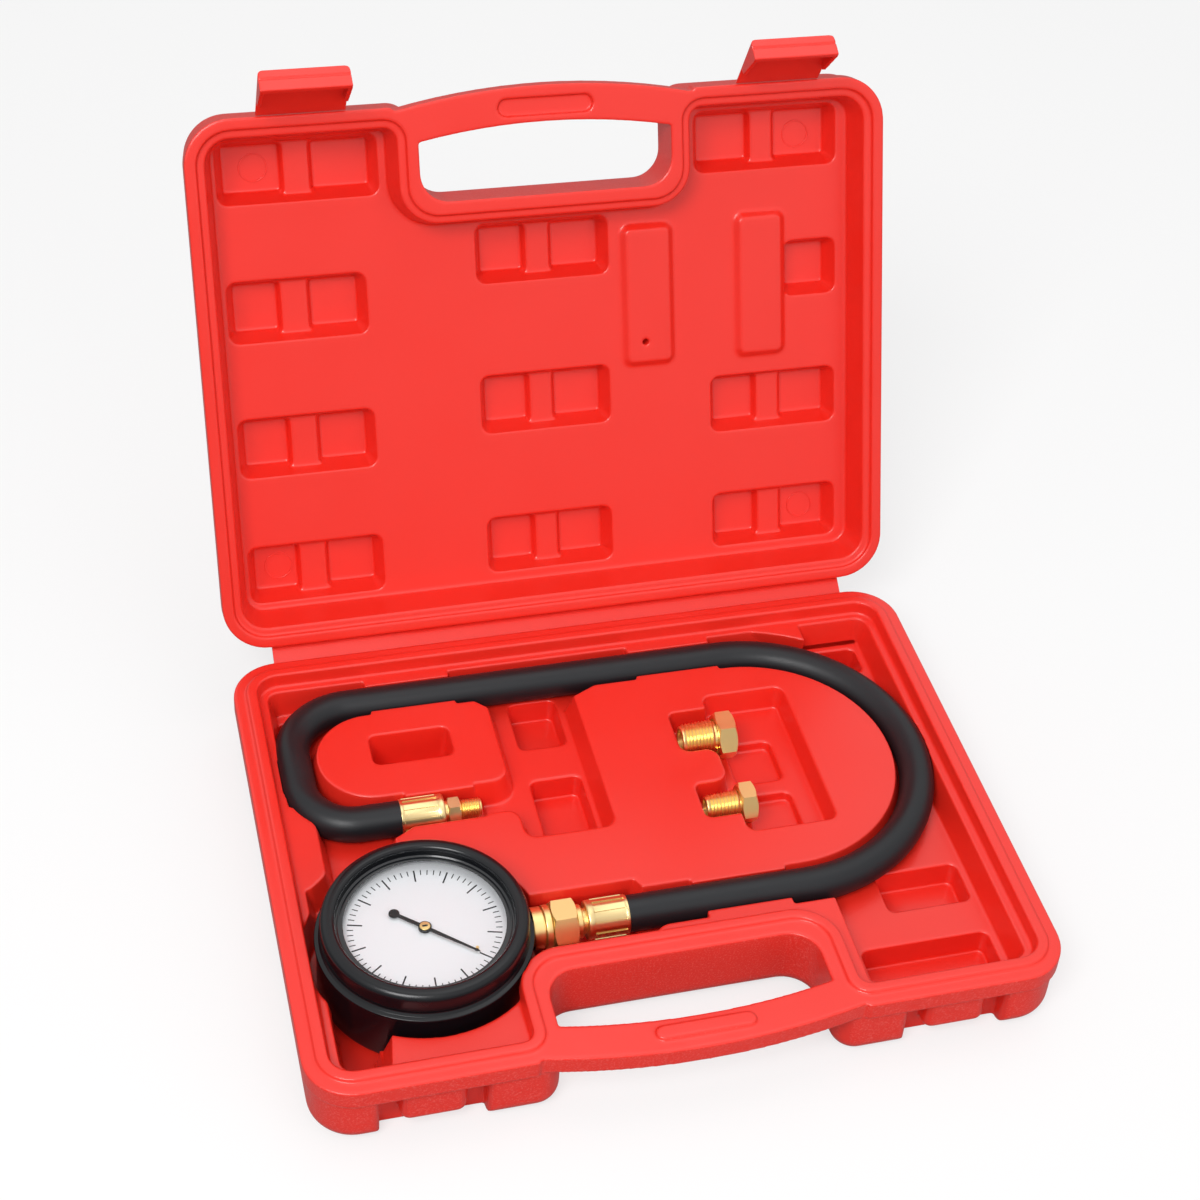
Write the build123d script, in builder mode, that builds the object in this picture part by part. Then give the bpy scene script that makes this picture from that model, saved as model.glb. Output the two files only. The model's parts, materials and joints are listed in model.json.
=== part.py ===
from build123d import *
from math import asin, cos, degrees, pi, radians, sin, sqrt, tan
import os

# Engine oil pressure tester in its moulded case, lying open.
# Millimetres. +X is right, +Y is the hinge side, +Z is up.
# The origin is the middle of the flat underside of the lower case half.
# Depths are measured down from the rim of each case half.

# Case
CASE_W = 270.0          # across the front
CASE_D = 207.0          # front to back, without the handle's bow
BASE_H = 28.0           # rim of the lower half above its underside
LID_H = 26.0            # rim of the upper half above its outer face
CORNER_R = 17.5         # plan corners
FLANGE_T = 7.5          # rim flange and handle bar
BODY_INSET = 1.3        # walls lie this far inside the flange
FOOT_R = 7.0            # rounding where walls meet the outer face
CLOSED_GAP = 0.3        # between the two rims when shut

# Handle, half of it on each case half
HANDLE_OUT = 4.8        # the bow stands out this far in front
BOW_R = 264.3           # curve of the bow
BAR_W = 13.8            # width of the grip bar
LOBE_W = 86.3           # case beside the finger hole
HOLE_REACH = 36.7       # finger hole's back edge behind the front edge
HOLE_BACK_R = 11.0
HOLE_FRONT_R = 6.5
RECESS_FRONT_R = 9.0
NOTCH_OUT = 8.3         # the bow ends in a small notch this far beside the hole
NOTCH_W = 1.5
BOW_PATCH = 4.0
GRIP_BAR = (35.2, 5.6, 1.3)     # raised bar on the lower grip: length, width, height
GRIP_SLOT = (36.6, 7.0, 1.8)    # slot for it in the upper grip
GRIP_BAR_Y = 3.1                # its centre behind the front edge

# Rim of the lower half: a raised band inside the flange
BAND_OUT = 4.8          # inset where the band starts
BAND_IN = 8.8           # inset where it ends
BAND_H = 1.4
TAB_OUT = 5.0           # band's outer edge beside the finger hole
TAB_REACH = 42.3        # and behind it, from the front edge
TAB_R = 12.0
TAB_FRONT_R = 8.0
WALL_DRAFT = 8.4
LEDGE_IN = 12.7         # inner edge of the narrow ledge
MIN_R = 4.6             # smallest plan corner of a drafted pocket

# Depths in the tray
TRAY = 4.0              # ledge and island tops
MID = 14.0              # hose floor
NUT_FLOOR = 16.8
FAR_FLOOR = 14.9
WELL_POCKET = 18.0
HOLE_FLOOR = 20.0
DEEP = 24.35            # gauge floor and corner pockets
DRAFT = 16.7
POCKET_DRAFT = 8.0

# Rim and inside of the upper half
LID_STEP_IN = 4.4
LID_STEP = 1.8
LID_WALL_IN = 7.5
LID_WALL_DRAFT = 12.8
PANEL = 15.0            # depth of the panel
RIB = 20.0              # depth of the bridges in the pocket pairs
LID_FLOOR = 24.0
LID_DRAFT = 18.4
LID_POCKET_R = 4.0
PAD_H = 2.5             # raised pads on the panel
PAD_DRAFT = 42.0
PAD_HOLE = (95.2, 1.7, 1.25)    # from the right side, above the lid's middle, radius

# Moulded hinge: a strip between two fold lines
LID_LEAN = 21.0         # open lid leans back from upright
STRIP_T = 1.2
STRIP_HALF = 117.0
FOLD_OUT = 0.7          # fold lines stand this far behind the rims' edges
FOLD_DROP = 5.0         # and this far below each rim
FOLD_FIT = 0.05
STRIP_LEN = 2 * FOLD_DROP + CLOSED_GAP
LIP_T = 1.5
STRIP_TILT = (90.0 + LID_LEAN) / 2

# Latches, hinged on the lid's front edge
LATCH_IN = 43.5         # middle of a latch from the case's side
LATCH_W = 33.0
LATCH_LEN = 26.0
LATCH_T = 2.2
LATCH_REST = 41.5       # rest angle from the closed position
LATCH_FIT = 0.2
LATCH_LIFT = 0.9        # hinge line above the lid's rim plane, into the lid
LATCH_WALL = 1.5
LATCH_WALL_START = 9.3
LATCH_WALL_H = 2.5      # height of the side wall where it starts
LATCH_HOOK = 6.5
LATCH_HOOK_T = 2.0
LATCH_CORNER_R = 2.0
LATCH_GROOVE = (3.4, 0.8, 0.5)  # across the end wall: place, width, depth

# Bays that the latches close into
BAY = (23.9, 60.2)      # from the case's side
BLOCK = (30.7, 53.6)    # the middle block in it
BAY_DEPTH = 8.5         # behind the front edge
BAY_R = 3.5             # rounded mouth
BLOCK_BACK = 2.0        # front of the middle block behind the front edge
BLOCK_BOTTOM = 22.0     # its underside below the rim
BLOCK_R = 2.6

# Gauge, stem axis and hose
GAUGE_FROM_LEFT = 49.8
GAUGE_FROM_FRONT = 62.5
STEM_DEPTH = 7.3        # stem and hose axes below the rim
BOOT_R = 37.5
BOOT_TOP_R = 36.25
BOOT_BOTTOM = 24.3
BOOT_TOP = 9.2          # above the rim
BOOT_FLOOR = 1.85
BOOT_LIP_R = 30.9
BOOT_RIB = 0.7
CAN_R = 32.6
CAN_T = 0.8
BEZEL_R = 33.4
BEZEL_IN_R = 28.25
BEZEL_TOP = 5.8
BEZEL_T = 0.75
BEZEL_LOW = -0.6
GAUGE_FIT = 0.05
LENS_T = 1.3
GASKET_T = 0.55
DIAL_R = 31.2
DIAL_TOP = 1.8
DIAL_T = 0.6
WELL_CLEAR = 4.5        # tray wall round the boot
RIM_CLEAR = 0.4         # rim band beside the boot

# Stem of the gauge and the two hose ends, X places from the gauge's centre
SHANK_R = 6.5
COLLAR_X = (38.2, 41.7)
COLLAR_R = 7.5
RING_X = (42.2, 45.0)
RING_R = 7.75
NUT_X = (45.0, 54.0)
NUT_AF = 16.0
NUT_WALL = 2.0
NIPPLE_COLLAR_X = 56.3
NIPPLE_COLLAR_R = 6.0
NIPPLE_R = 3.2
NIPPLE_BORE_R = 1.5
FERRULE_X = (57.6, 72.9)
FERRULE_R = 7.2
FAR_FERRULE_X = (2.2, 18.7)
FAR_FERRULE_R = 7.0
FERRULE_WALL = 1.0
CRIMP = 0.2
FAR_NECK_R = 4.0
FAR_HEX_X = (20.0, 24.6)
FAR_HEX_AF = 9.0
FAR_THREAD_X = 32.8
FAR_THREAD_R = 3.7
FIT = 0.05

HOSE_R = 6.65
BACK_RUN_IN = 22.5      # hose runs this far inside the case's edges
RIGHT_RUN_IN = 18.2
LEFT_RUN_IN = 18.0
FAR_ROW = 61.0          # far end's axis behind the gauge's
HOSE_ROUTE_R = (30.0, 21.5, 20.0)
LEFT_TURN = (11.0, 13.6)        # last slanted run
CHANNEL_HALF = 8.6
CLAMP_HALF = 6.75
HOSE_CLEAR = 0.15

# Movement of the gauge, about the gauge's own centre
PLATE_T = 1.0
BACK_PLATE = -12.6      # underside of the back plate, above the rim plane
FRONT_PLATE = -3.6
SOCKET_HALF = 6.5
SOCKET_FOOT = 3.1
TUBE_R = 24.0           # mean radius of the curved tube
TUBE_W = 3.2
TUBE_Z = (-15.0, -7.0)
TUBE_TIP_ANGLE = 60.0
TIP_SWEEP = 12.0
ARBOR_R = 0.6
MODULE = 0.3
PINION_TEETH = 12
SECTOR_TEETH = 96       # if it were a whole wheel
SECTOR_ANGLE = -22.0    # sector's arbor seen from the centre
SECTOR_Z = (-7.4, -6.4)
TAIL_R = 4.8
TAIL_ANGLE = 15.0
LINK_Z = (-5.9, -5.2)
LINK_END = (14.9, 16.6)
POINTER_ANGLE = -40.6
POINTER_SWEEP = 270.0
POINTER_LEN = 22.0
POINTER_TAIL = 12.4
POINTER_TAIL_R = 1.9
POINTER_Z = (2.45, 2.85)
HUB_R = 2.3
CAP_R = 1.9
STOP_PIN_R = 0.55
STOP_RADIUS = 20.2
SPRING_TURNS = 5
SPRING_IN = 1.3
SPRING_STEP = 0.7
SPRING_T = 0.18

# Loose adapters, measured from the centre of the large bend
LARGE_Y = 17.5
LARGE_X = (-26.5, -12.8, -5.6)  # thread start, hexagon start, hexagon end
LARGE_AF = 16.5
LARGE_THREAD_R = 6.75
SMALL_Y = -17.3
SMALL_X = (-26.3, -13.4, -7.3)
SMALL_AF = 14.0
SMALL_THREAD_R = 5.4

BASE = -1               # the handle side of each half, along its own Y
LID = 1

left = -CASE_W / 2
right = CASE_W / 2
front = -CASE_D / 2
back = CASE_D / 2
hole_half = right - LOBE_W
tab_half = hole_half + TAB_OUT
notch_x = hole_half + NOTCH_OUT
latch_x = right - LATCH_IN
gauge_x = left + GAUGE_FROM_LEFT
gauge_y = front + GAUGE_FROM_FRONT
back_run_y = back - BACK_RUN_IN
far_y = gauge_y + FAR_ROW
bend_r = (back_run_y - gauge_y) / 2
bend_x = right - RIGHT_RUN_IN - bend_r
bend_y = gauge_y + bend_r
stem_z = BASE_H - STEM_DEPTH
sector_distance = MODULE * (PINION_TEETH + SECTOR_TEETH) / 2
sector_x = sector_distance * cos(radians(SECTOR_ANGLE))
sector_y = sector_distance * sin(radians(SECTOR_ANGLE))
tail_x = sector_x + TAIL_R * cos(radians(TAIL_ANGLE))
tail_y = sector_y + TAIL_R * sin(radians(TAIL_ANGLE))

# Fold lines and the open lid's place
fold_y = CASE_D / 2 + FOLD_OUT
fold_z = BASE_H - FOLD_DROP
tilt = radians(STRIP_TILT)
fold2_y = fold_y + STRIP_LEN * sin(tilt)
fold2_z = fold_z + STRIP_LEN * cos(tilt)
lean = radians(LID_LEAN)
lid_up = Vector(0, sin(lean), cos(lean))
lid_in = Vector(0, cos(lean), -sin(lean))
lid_edge = Vector(0, fold2_y, fold2_z) + lid_up * FOLD_OUT - lid_in * FOLD_DROP
lid_rim = Plane(lid_edge + lid_up * (CASE_D / 2), x_dir=(1, 0, 0), z_dir=lid_in * -1)
base_rim = Plane.XY.offset(BASE_H)
gauge_section = Plane((gauge_x, gauge_y, BASE_H), x_dir=(1, 0, 0), z_dir=(0, -1, 0))
gauge_axis = Axis((gauge_x, gauge_y, 0), (0, 0, 1))


def level(depth):
    """Plane at a depth below the lower half's rim."""
    return base_rim.offset(-depth)


def lid_level(depth):
    """Plane at a depth below the upper half's rim."""
    return lid_rim.offset(-depth)


def outline(plane, points, radii):
    """Closed outline with straight sides and rounded corners."""
    with BuildSketch(plane) as drawn:
        with BuildLine():
            FilletPolyline(*points, radius=radii, close=True)
        make_face()
    return drawn.sketch


def panel_box(plane, x0, x1, y0, y1, corner_r=0.0):
    """Rectangle between four edges, with rounded corners if asked."""
    with BuildSketch(plane) as drawn:
        with Locations(((x0 + x1) / 2, (y0 + y1) / 2)):
            if corner_r:
                RectangleRounded(x1 - x0, y1 - y0, corner_r)
            else:
                Rectangle(x1 - x0, y1 - y0)
    return drawn.sketch


def bow_y(x, side, inner=0.0):
    """Y of the handle's bow at x, or of a curve inside it."""
    centre = CASE_D / 2 + HANDLE_OUT - BOW_R
    return side * (centre + sqrt((BOW_R - inner) ** 2 - x ** 2))


def flange_plan(plane, side):
    """Rim flange with the bow of the handle."""
    edge = side * CASE_D / 2
    inside = side * (CASE_D / 2 - BOW_PATCH)
    notch_out = notch_x + NOTCH_W
    with BuildSketch(plane) as drawn:
        RectangleRounded(CASE_W, CASE_D, CORNER_R)
        with Locations((0, (edge + inside) / 2)):
            Rectangle(2 * notch_out, BOW_PATCH, mode=Mode.SUBTRACT)
        with BuildLine():
            Line((-notch_out, inside), (-notch_out, edge))
            Line((-notch_out, edge), (-notch_x, bow_y(notch_x, side)))
            ThreePointArc(
                (-notch_x, bow_y(notch_x, side)), (0, bow_y(0, side)), (notch_x, bow_y(notch_x, side))
            )
            Line((notch_x, bow_y(notch_x, side)), (notch_out, edge))
            Line((notch_out, edge), (notch_out, inside))
            Line((notch_out, inside), (-notch_out, inside))
        make_face()
    return drawn.sketch


def finger_hole(plane, side):
    """Finger hole with rounded corners."""
    back = side * (CASE_D / 2 - HOLE_REACH)
    front = bow_y(hole_half, side, BAR_W)
    with BuildSketch(plane) as drawn:
        with BuildLine():
            Line((-hole_half, front), (-hole_half, back))
            Line((-hole_half, back), (hole_half, back))
            Line((hole_half, back), (hole_half, front))
            ThreePointArc((hole_half, front), (0, bow_y(0, side, BAR_W)), (-hole_half, front))
        make_face()
        back_corners = drawn.vertices().sort_by(lambda v: side * v.Y)[:2]
        front_corners = drawn.vertices().sort_by(lambda v: side * v.Y)[2:]
        fillet(back_corners, HOLE_BACK_R)
        fillet(front_corners, HOLE_FRONT_R)
    return drawn.sketch


def body_plan(plane, side):
    """Walls of a case half, with the open recess under the handle."""
    half_w = CASE_W / 2 - BODY_INSET
    half_d = CASE_D / 2 - BODY_INSET
    back = -side * half_d
    front = side * half_d
    recess = side * (CASE_D / 2 - HOLE_REACH)
    points = [
        (-half_w, back), (half_w, back), (half_w, front), (hole_half, front),
        (hole_half, recess), (-hole_half, recess), (-hole_half, front), (-half_w, front),
    ]
    corner = CORNER_R - BODY_INSET
    radii = [
        corner, corner, corner, RECESS_FRONT_R,
        HOLE_BACK_R, HOLE_BACK_R, RECESS_FRONT_R, corner,
    ]
    return outline(plane, points, radii)


def rim_plan(plane, side, inset):
    """Line round the inside of the rim, which steps back round the handle."""
    half_w = CASE_W / 2 - inset
    half_d = CASE_D / 2 - inset
    grow = inset - BAND_OUT
    tab = tab_half + grow
    back = -side * half_d
    front = side * half_d
    tab_y = side * (CASE_D / 2 - TAB_REACH - grow)
    corner = max(CORNER_R - inset, MIN_R)
    turn = max(TAB_FRONT_R - grow, MIN_R)
    points = [
        (-half_w, back), (half_w, back), (half_w, front), (tab, front),
        (tab, tab_y), (-tab, tab_y), (-tab, front), (-half_w, front),
    ]
    radii = [corner, corner, corner, turn, TAB_R + grow, TAB_R + grow, turn, corner]
    return outline(plane, points, radii)


def along_stem(x, y=gauge_y, z=stem_z, origin_x=gauge_x):
    """Plane across an axis that runs along X, at a place from its origin."""
    return Plane((origin_x + x, y, z), x_dir=(0, 1, 0), z_dir=(1, 0, 0))


def turned_along_x(points, y, z, origin_x=gauge_x):
    """Section through an axis that runs along X, ready to revolve."""
    with BuildSketch(Plane((origin_x, y, z), x_dir=(1, 0, 0), z_dir=(0, -1, 0))) as drawn:
        with BuildLine():
            Polyline(*points, close=True)
        make_face()
    return drawn.sketch


def gauge_turned(points, radii):
    """Section of a round gauge piece: radius, height above the rim."""
    return outline(gauge_section, points, radii)


def gauge_plane(height):
    """Plane across the gauge at a height above the rim."""
    return Plane((gauge_x, gauge_y, BASE_H + height))


def case_half(rim, height, side):
    """Walls, rim flange and finger hole of a case half, still solid inside."""
    outer = Axis(rim.origin, rim.z_dir)
    with BuildPart() as half:
        extrude(body_plan(rim.offset(-height), side), amount=height - FLANGE_T)
        fillet(half.faces().sort_by(outer)[0].edges(), FOOT_R)
        extrude(flange_plan(rim.offset(-FLANGE_T), side), amount=FLANGE_T)
        extrude(finger_hole(rim.offset(-FLANGE_T), side), amount=FLANGE_T, mode=Mode.SUBTRACT)
    return half.part


# Hose route, at the height of the stem's axis
turn_r = bend_r - HOSE_CLEAR
left_run_x = left + LEFT_RUN_IN
route = [
    (gauge_x + FERRULE_X[0] + FERRULE_WALL + FIT, gauge_y, stem_z),
    (bend_x + bend_r, gauge_y, stem_z),
    (bend_x + bend_r, back_run_y, stem_z),
    (left_run_x, back_run_y, stem_z),
    (left_run_x, far_y + LEFT_TURN[1], stem_z),
    (left_run_x + LEFT_TURN[0], far_y, stem_z),
    (gauge_x + FAR_FERRULE_X[1] - FERRULE_WALL - FIT, far_y, stem_z),
]
with BuildLine() as hose_line:
    FilletPolyline(*route, radius=[turn_r, turn_r, *HOSE_ROUTE_R])
hose_start = Plane(route[0], x_dir=(0, 1, 0), z_dir=(1, 0, 0))


# Lower case half: outside
base_shell = case_half(base_rim, BASE_H, BASE)

front_channel = gauge_y + CHANNEL_HALF
back_channel = back_run_y - CHANNEL_HALF
far_side = bend_r - CHANNEL_HALF
island_x = gauge_x + 45.2       # where the two islands face the gap between them
gap_x = gauge_x + 79.5          # far side of that gap
mid_edge = gauge_y + 39.7
nut_edge = gauge_y + 12.9
far_edge = far_y - 6.5
small_edge = far_y + 9.2
tab_line = front + TAB_REACH + 3.2
tab_side = tab_half + 2.3
big_island = [
    (gap_x + 1.6, front_channel), (bend_x + far_side, front_channel), (bend_x + far_side, back_channel),
    (gap_x + 9.4, back_channel), (gap_x, back_channel - 4.5), (gap_x, mid_edge), (island_x, mid_edge),
    (island_x, far_edge), (gauge_x + 8.4, far_edge), (gauge_x - 1.6, far_edge - 5.6),
    (gauge_x - 1.6, nut_edge), (gap_x - 0.6, nut_edge),
]
big_island_r = [0, far_side - 0.1, far_side - 0.1, 0, 0, 5, 5, 5, 6, 0, 0, 0]
island_end_r = (back_channel - small_edge) / 2 - 0.05
small_island = [
    (island_x, small_edge), (island_x, back_channel - 4.5), (island_x - 4.5, back_channel),
    (gauge_x - 23.5, back_channel), (gauge_x - 23.5, small_edge),
]
small_island_r = [6, 0, 0, island_end_r, island_end_r]
front_step = [
    (gap_x + 0.7, gauge_y - 9.8), (tab_half + 9.3, gauge_y - 9.8), (tab_half + 9.3, front + 11.5),
    (tab_side, front + 11.5), (tab_side, tab_line), (gap_x + 0.7, tab_line),
]
gauge_step = [
    (gauge_x - 20.5, front + 10.5), (gauge_x - 18.6, front + 22.2), (gauge_x - 15.8, gauge_y - 24.0),
    (gauge_x + 35.2, gauge_y - 13.0), (gauge_x + 35.2, tab_line), (-tab_side, tab_line - 4.0),
    (-tab_side, front + 10.5),
]
left_step = [
    (left + 9.0, far_y + 11.0), (left + 15.5, far_y + 10.0), (left + 21.1, far_y - 0.6),
    (left + 21.2, mid_edge - 3.2), (left + 15.0, mid_edge - 8.7), (left + 9.0, mid_edge - 10.7),
]

clamp_in = back_run_y - CLAMP_HALF
clamp_out = back_run_y + CLAMP_HALF
clamps = [
    (gauge_x + 0.6, gauge_x + 33.8, back_channel - 1, clamp_in),
    (gauge_x + 0.6, gauge_x + 33.8, clamp_out, back_run_y + CHANNEL_HALF + 2),
    (bend_x - 34.8, bend_x - 0.8, back_channel - 1, clamp_in),
    (bend_x - 34.8, bend_x - 0.8, clamp_out, back_run_y + CHANNEL_HALF + 2),
    (bend_x - 42.0, bend_x - 6.2, gauge_y + CLAMP_HALF, front_channel + 1),
    (bend_x - 40.1, bend_x - 8.1, tab_line, gauge_y - CLAMP_HALF),
    (gauge_x + 5.7, gauge_x + 31.7, far_y + 5.1, far_y + 10.0),
]
deep_pockets = [
    (gauge_x + 54.9, gauge_x + 73.8, back_channel - 20.1, back_run_y - 4.0),
    (gauge_x + 54.7, gauge_x + 74.5, mid_edge + 3.3, far_y + 15.0),
    (right - 50.6, right - 18.6, gauge_y - 12.9, gauge_y + 5.0),
    (right - 67.3, right - 18.6, front + 15.5, front + 34.3),
    (left + 14.0, left + 35.6, back - 15.7, back - 12.7),
    (left + 15.3, left + 22.4, back - 33.5, back - 20.6),
    (right - 40.7, right - 14.0, back - 16.5, back - 12.7),
    (right - 39.0, right - 18.4, back - 33.5, back - 20.0),
]
nut_pocket = (gauge_x + 36.7, gauge_x + 77.2, gauge_y - 11.6, gauge_y + 11.7)
far_pocket = (gauge_x - 0.8, gauge_x + 35.2, far_y - 7.6, far_y + 7.6)
corner_pocket = (left + 12.7, left + 29.3, front + 14.5, front + 43.5)
island_hole = (gauge_x - 2.9, gauge_x + 27.9, small_edge + 16.3, small_edge + 31.7)
well = [
    (-14.3, -34.0), (20.7, -34.0), (20.7, 38.0), (-12.5, 38.0), (-12.5, 31.5), (-28.0, 31.5),
    (-28.0, 10.2), (-14.3, 10.2), (-14.3, -6.9), (-28.0, -6.9), (-28.0, -24.5), (-14.3, -24.5),
]
well_r = [4, 4, 4, 4, 0, 3, 4, 5, 5, 3, 3, 0]
well_pockets = [(-8.2, 10.4, -1.6, 18.8), (-8.2, 10.4, -32.0, -8.6)]
WEDGE = (18.5, 38.2, 72.7)      # from the bend's centre: start, end, and inner radius


def from_bend(points):
    """Moves points measured from the centre of the large bend to their place."""
    return [(x + bend_x, y + bend_y) for x, y in points]


def latch_bay(side):
    """Plan of a bay that a latch closes into, with a rounded mouth."""
    wall = front + BODY_INSET
    near, far = right - BAY[0], right - BAY[1]
    points = [
        (near + 2 * BAY_R, front - 1), (near + 2 * BAY_R, wall), (near, wall), (near, front + BAY_DEPTH),
        (far, front + BAY_DEPTH), (far, wall), (far - 2 * BAY_R, wall), (far - 2 * BAY_R, front - 1),
    ]
    return outline(Plane.XY, [(side * x, y) for x, y in points], [0, 0, BAY_R, 1, 1, BAY_R, 0, 0])


def bay_block(side):
    """Block in the middle of a bay, which the latch hooks under."""
    near, far = right - BLOCK[0], right - BLOCK[1]
    low = Plane.XY.offset(BASE_H - BLOCK_BOTTOM)
    points = [
        (near, front + BAY_DEPTH + 1), (near, front + BLOCK_BACK), (far, front + BLOCK_BACK),
        (far, front + BAY_DEPTH + 1),
    ]
    with BuildPart() as made:
        plan = outline(low, [(side * x, y) for x, y in points], [0, BAY_R, BAY_R, 0])
        extrude(plan, amount=BLOCK_BOTTOM - FLANGE_T)
        under = made.faces().sort_by(Axis.Z)[0]
        fillet(under.edges().sort_by(Axis.Y)[0:3], BLOCK_R)
    return made.part


with BuildPart() as case_base:
    add(base_shell)
    extrude(rim_plan(level(0), BASE, BAND_OUT), amount=BAND_H)
    drop = BAND_H + TRAY
    extrude(rim_plan(level(-BAND_H), BASE, BAND_IN), amount=-drop, taper=WALL_DRAFT, mode=Mode.SUBTRACT)
    extrude(rim_plan(level(TRAY), BASE, LEDGE_IN), amount=TRAY - MID, taper=DRAFT, mode=Mode.SUBTRACT)
    for points, radii in (
        (big_island, big_island_r),
        (small_island, small_island_r),
        (front_step, [6, 0, 0, 0, 0, 0]),
        (gauge_step, [0, 8, 0, 0, 0, 0, 0]),
        (left_step, [0, 4, 8, 6, 0, 0]),
    ):
        extrude(outline(level(TRAY), points, radii), amount=TRAY - MID, taper=-DRAFT)
    for x0, x1, y0, y1 in clamps:
        extrude(panel_box(level(MID), x0, x1, y0, y1), amount=MID - TRAY)
    # Wells and pockets
    with BuildSketch(level(TRAY)) as gauge_well:
        with Locations((gauge_x, gauge_y)):
            Circle(BOOT_R + WELL_CLEAR)
    extrude(gauge_well.sketch, amount=TRAY - DEEP, taper=2, mode=Mode.SUBTRACT)
    with BuildSketch(level(-BAND_H)) as boot_clearance:
        with Locations((gauge_x, gauge_y)):
            Circle(BOOT_R + BOOT_RIB + RIM_CLEAR)
    extrude(boot_clearance.sketch, amount=-drop, mode=Mode.SUBTRACT)
    corner_well = panel_box(level(TRAY), *corner_pocket, MIN_R)
    extrude(corner_well, amount=TRAY - DEEP, taper=POCKET_DRAFT, mode=Mode.SUBTRACT)
    for x0, x1, y0, y1 in deep_pockets:
        corner = min(3.0, (y1 - y0) / 2.5)
        extrude(panel_box(level(MID), x0, x1, y0, y1, corner), amount=MID - DEEP, mode=Mode.SUBTRACT)
    extrude(panel_box(level(TRAY), *nut_pocket), amount=TRAY - NUT_FLOOR, mode=Mode.SUBTRACT)
    extrude(panel_box(level(TRAY), *far_pocket, 3), amount=TRAY - FAR_FLOOR, mode=Mode.SUBTRACT)
    well_plan = outline(level(TRAY), from_bend(well), well_r)
    extrude(well_plan, amount=TRAY - MID, taper=POCKET_DRAFT, mode=Mode.SUBTRACT)
    for x0, x1, y0, y1 in well_pockets:
        pocket = panel_box(level(MID), x0 + bend_x, x1 + bend_x, y0 + bend_y, y1 + bend_y, 3)
        extrude(pocket, amount=MID - WELL_POCKET, mode=Mode.SUBTRACT)
    hole = panel_box(level(TRAY), *island_hole, 3)
    extrude(hole, amount=TRAY - HOLE_FLOOR, taper=POCKET_DRAFT / 2, mode=Mode.SUBTRACT)
    # Wedge of the back ledge outside the large bend
    with BuildSketch(level(MID)) as wedge:
        with Locations((bend_x, bend_y)):
            with Locations(((WEDGE[0] + WEDGE[1]) / 2, bend_r)):
                Rectangle(WEDGE[1] - WEDGE[0], 2 * (back - LEDGE_IN + 1 - back_run_y))
            Circle(WEDGE[2], mode=Mode.SUBTRACT)
    extrude(wedge.sketch, amount=MID - TRAY)
    # Hose groove
    with BuildSketch(hose_start) as groove:
        Circle(HOSE_R + HOSE_CLEAR)
    sweep(groove.sketch, path=hose_line.wire(), mode=Mode.SUBTRACT)
    # Grip bar, hinge lip and latch bays
    with BuildSketch(level(0)) as grip:
        with Locations((0, front + GRIP_BAR_Y)):
            SlotOverall(GRIP_BAR[0], GRIP_BAR[1])
    extrude(grip.sketch, amount=GRIP_BAR[2])
    lip = panel_box(
        level(FOLD_DROP + STRIP_T / 2 + FOLD_FIT), -STRIP_HALF, STRIP_HALF,
        CASE_D / 2 - BODY_INSET * 2, fold_y + STRIP_T / 2,
    )
    extrude(lip, amount=-LIP_T)
    for side in (-1, 1):
        extrude(latch_bay(side), amount=BASE_H - FLANGE_T, mode=Mode.SUBTRACT)
        add(bay_block(side))

# Upper case half
lid_shell = case_half(lid_rim, LID_H, LID)
lid_mid = CASE_D / 2
lid_pairs = [
    (left + 12.2, left + 72.8, CASE_D - 35.1, CASE_D - 11.3, left + 37.8, left + 47.4),
    (left + 12.5, left + 65.6, lid_mid + 15.0, lid_mid + 39.2, left + 33.3, left + 43.4),
    (left + 12.5, left + 65.6, lid_mid - 38.8, lid_mid - 14.9, left + 33.3, left + 43.4),
    (left + 12.5, left + 65.6, 13.0, 36.5, left + 33.3, left + 43.4),
    (-26.6, 26.2, CASE_D - 73.2, CASE_D - 49.7, -5.8, 3.4),
    (-27.2, 25.2, lid_mid - 30.5, lid_mid - 6.6, -6.4, 2.5),
    (-27.2, 24.3, 14.5, 37.8, -6.4, 2.5),
    (right - 73.2, right - 14.7, CASE_D - 36.3, CASE_D - 12.2, right - 48.7, right - 39.7),
    (right - 68.1, right - 15.3, lid_mid - 39.7, lid_mid - 16.1, right - 47.2, right - 37.9),
    (right - 68.1, right - 15.3, 14.3, 37.4, right - 47.2, right - 37.9),
]
lid_single = (right - 36.9, right - 14.9, lid_mid + 14.5, lid_mid + 37.3)
lid_pads = [
    (right - 104.3, right - 82.7, lid_mid - 8.5, lid_mid + 49.4),
    (right - 57.7, right - 36.5, lid_mid - 8.9, lid_mid + 50.6),
]
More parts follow.
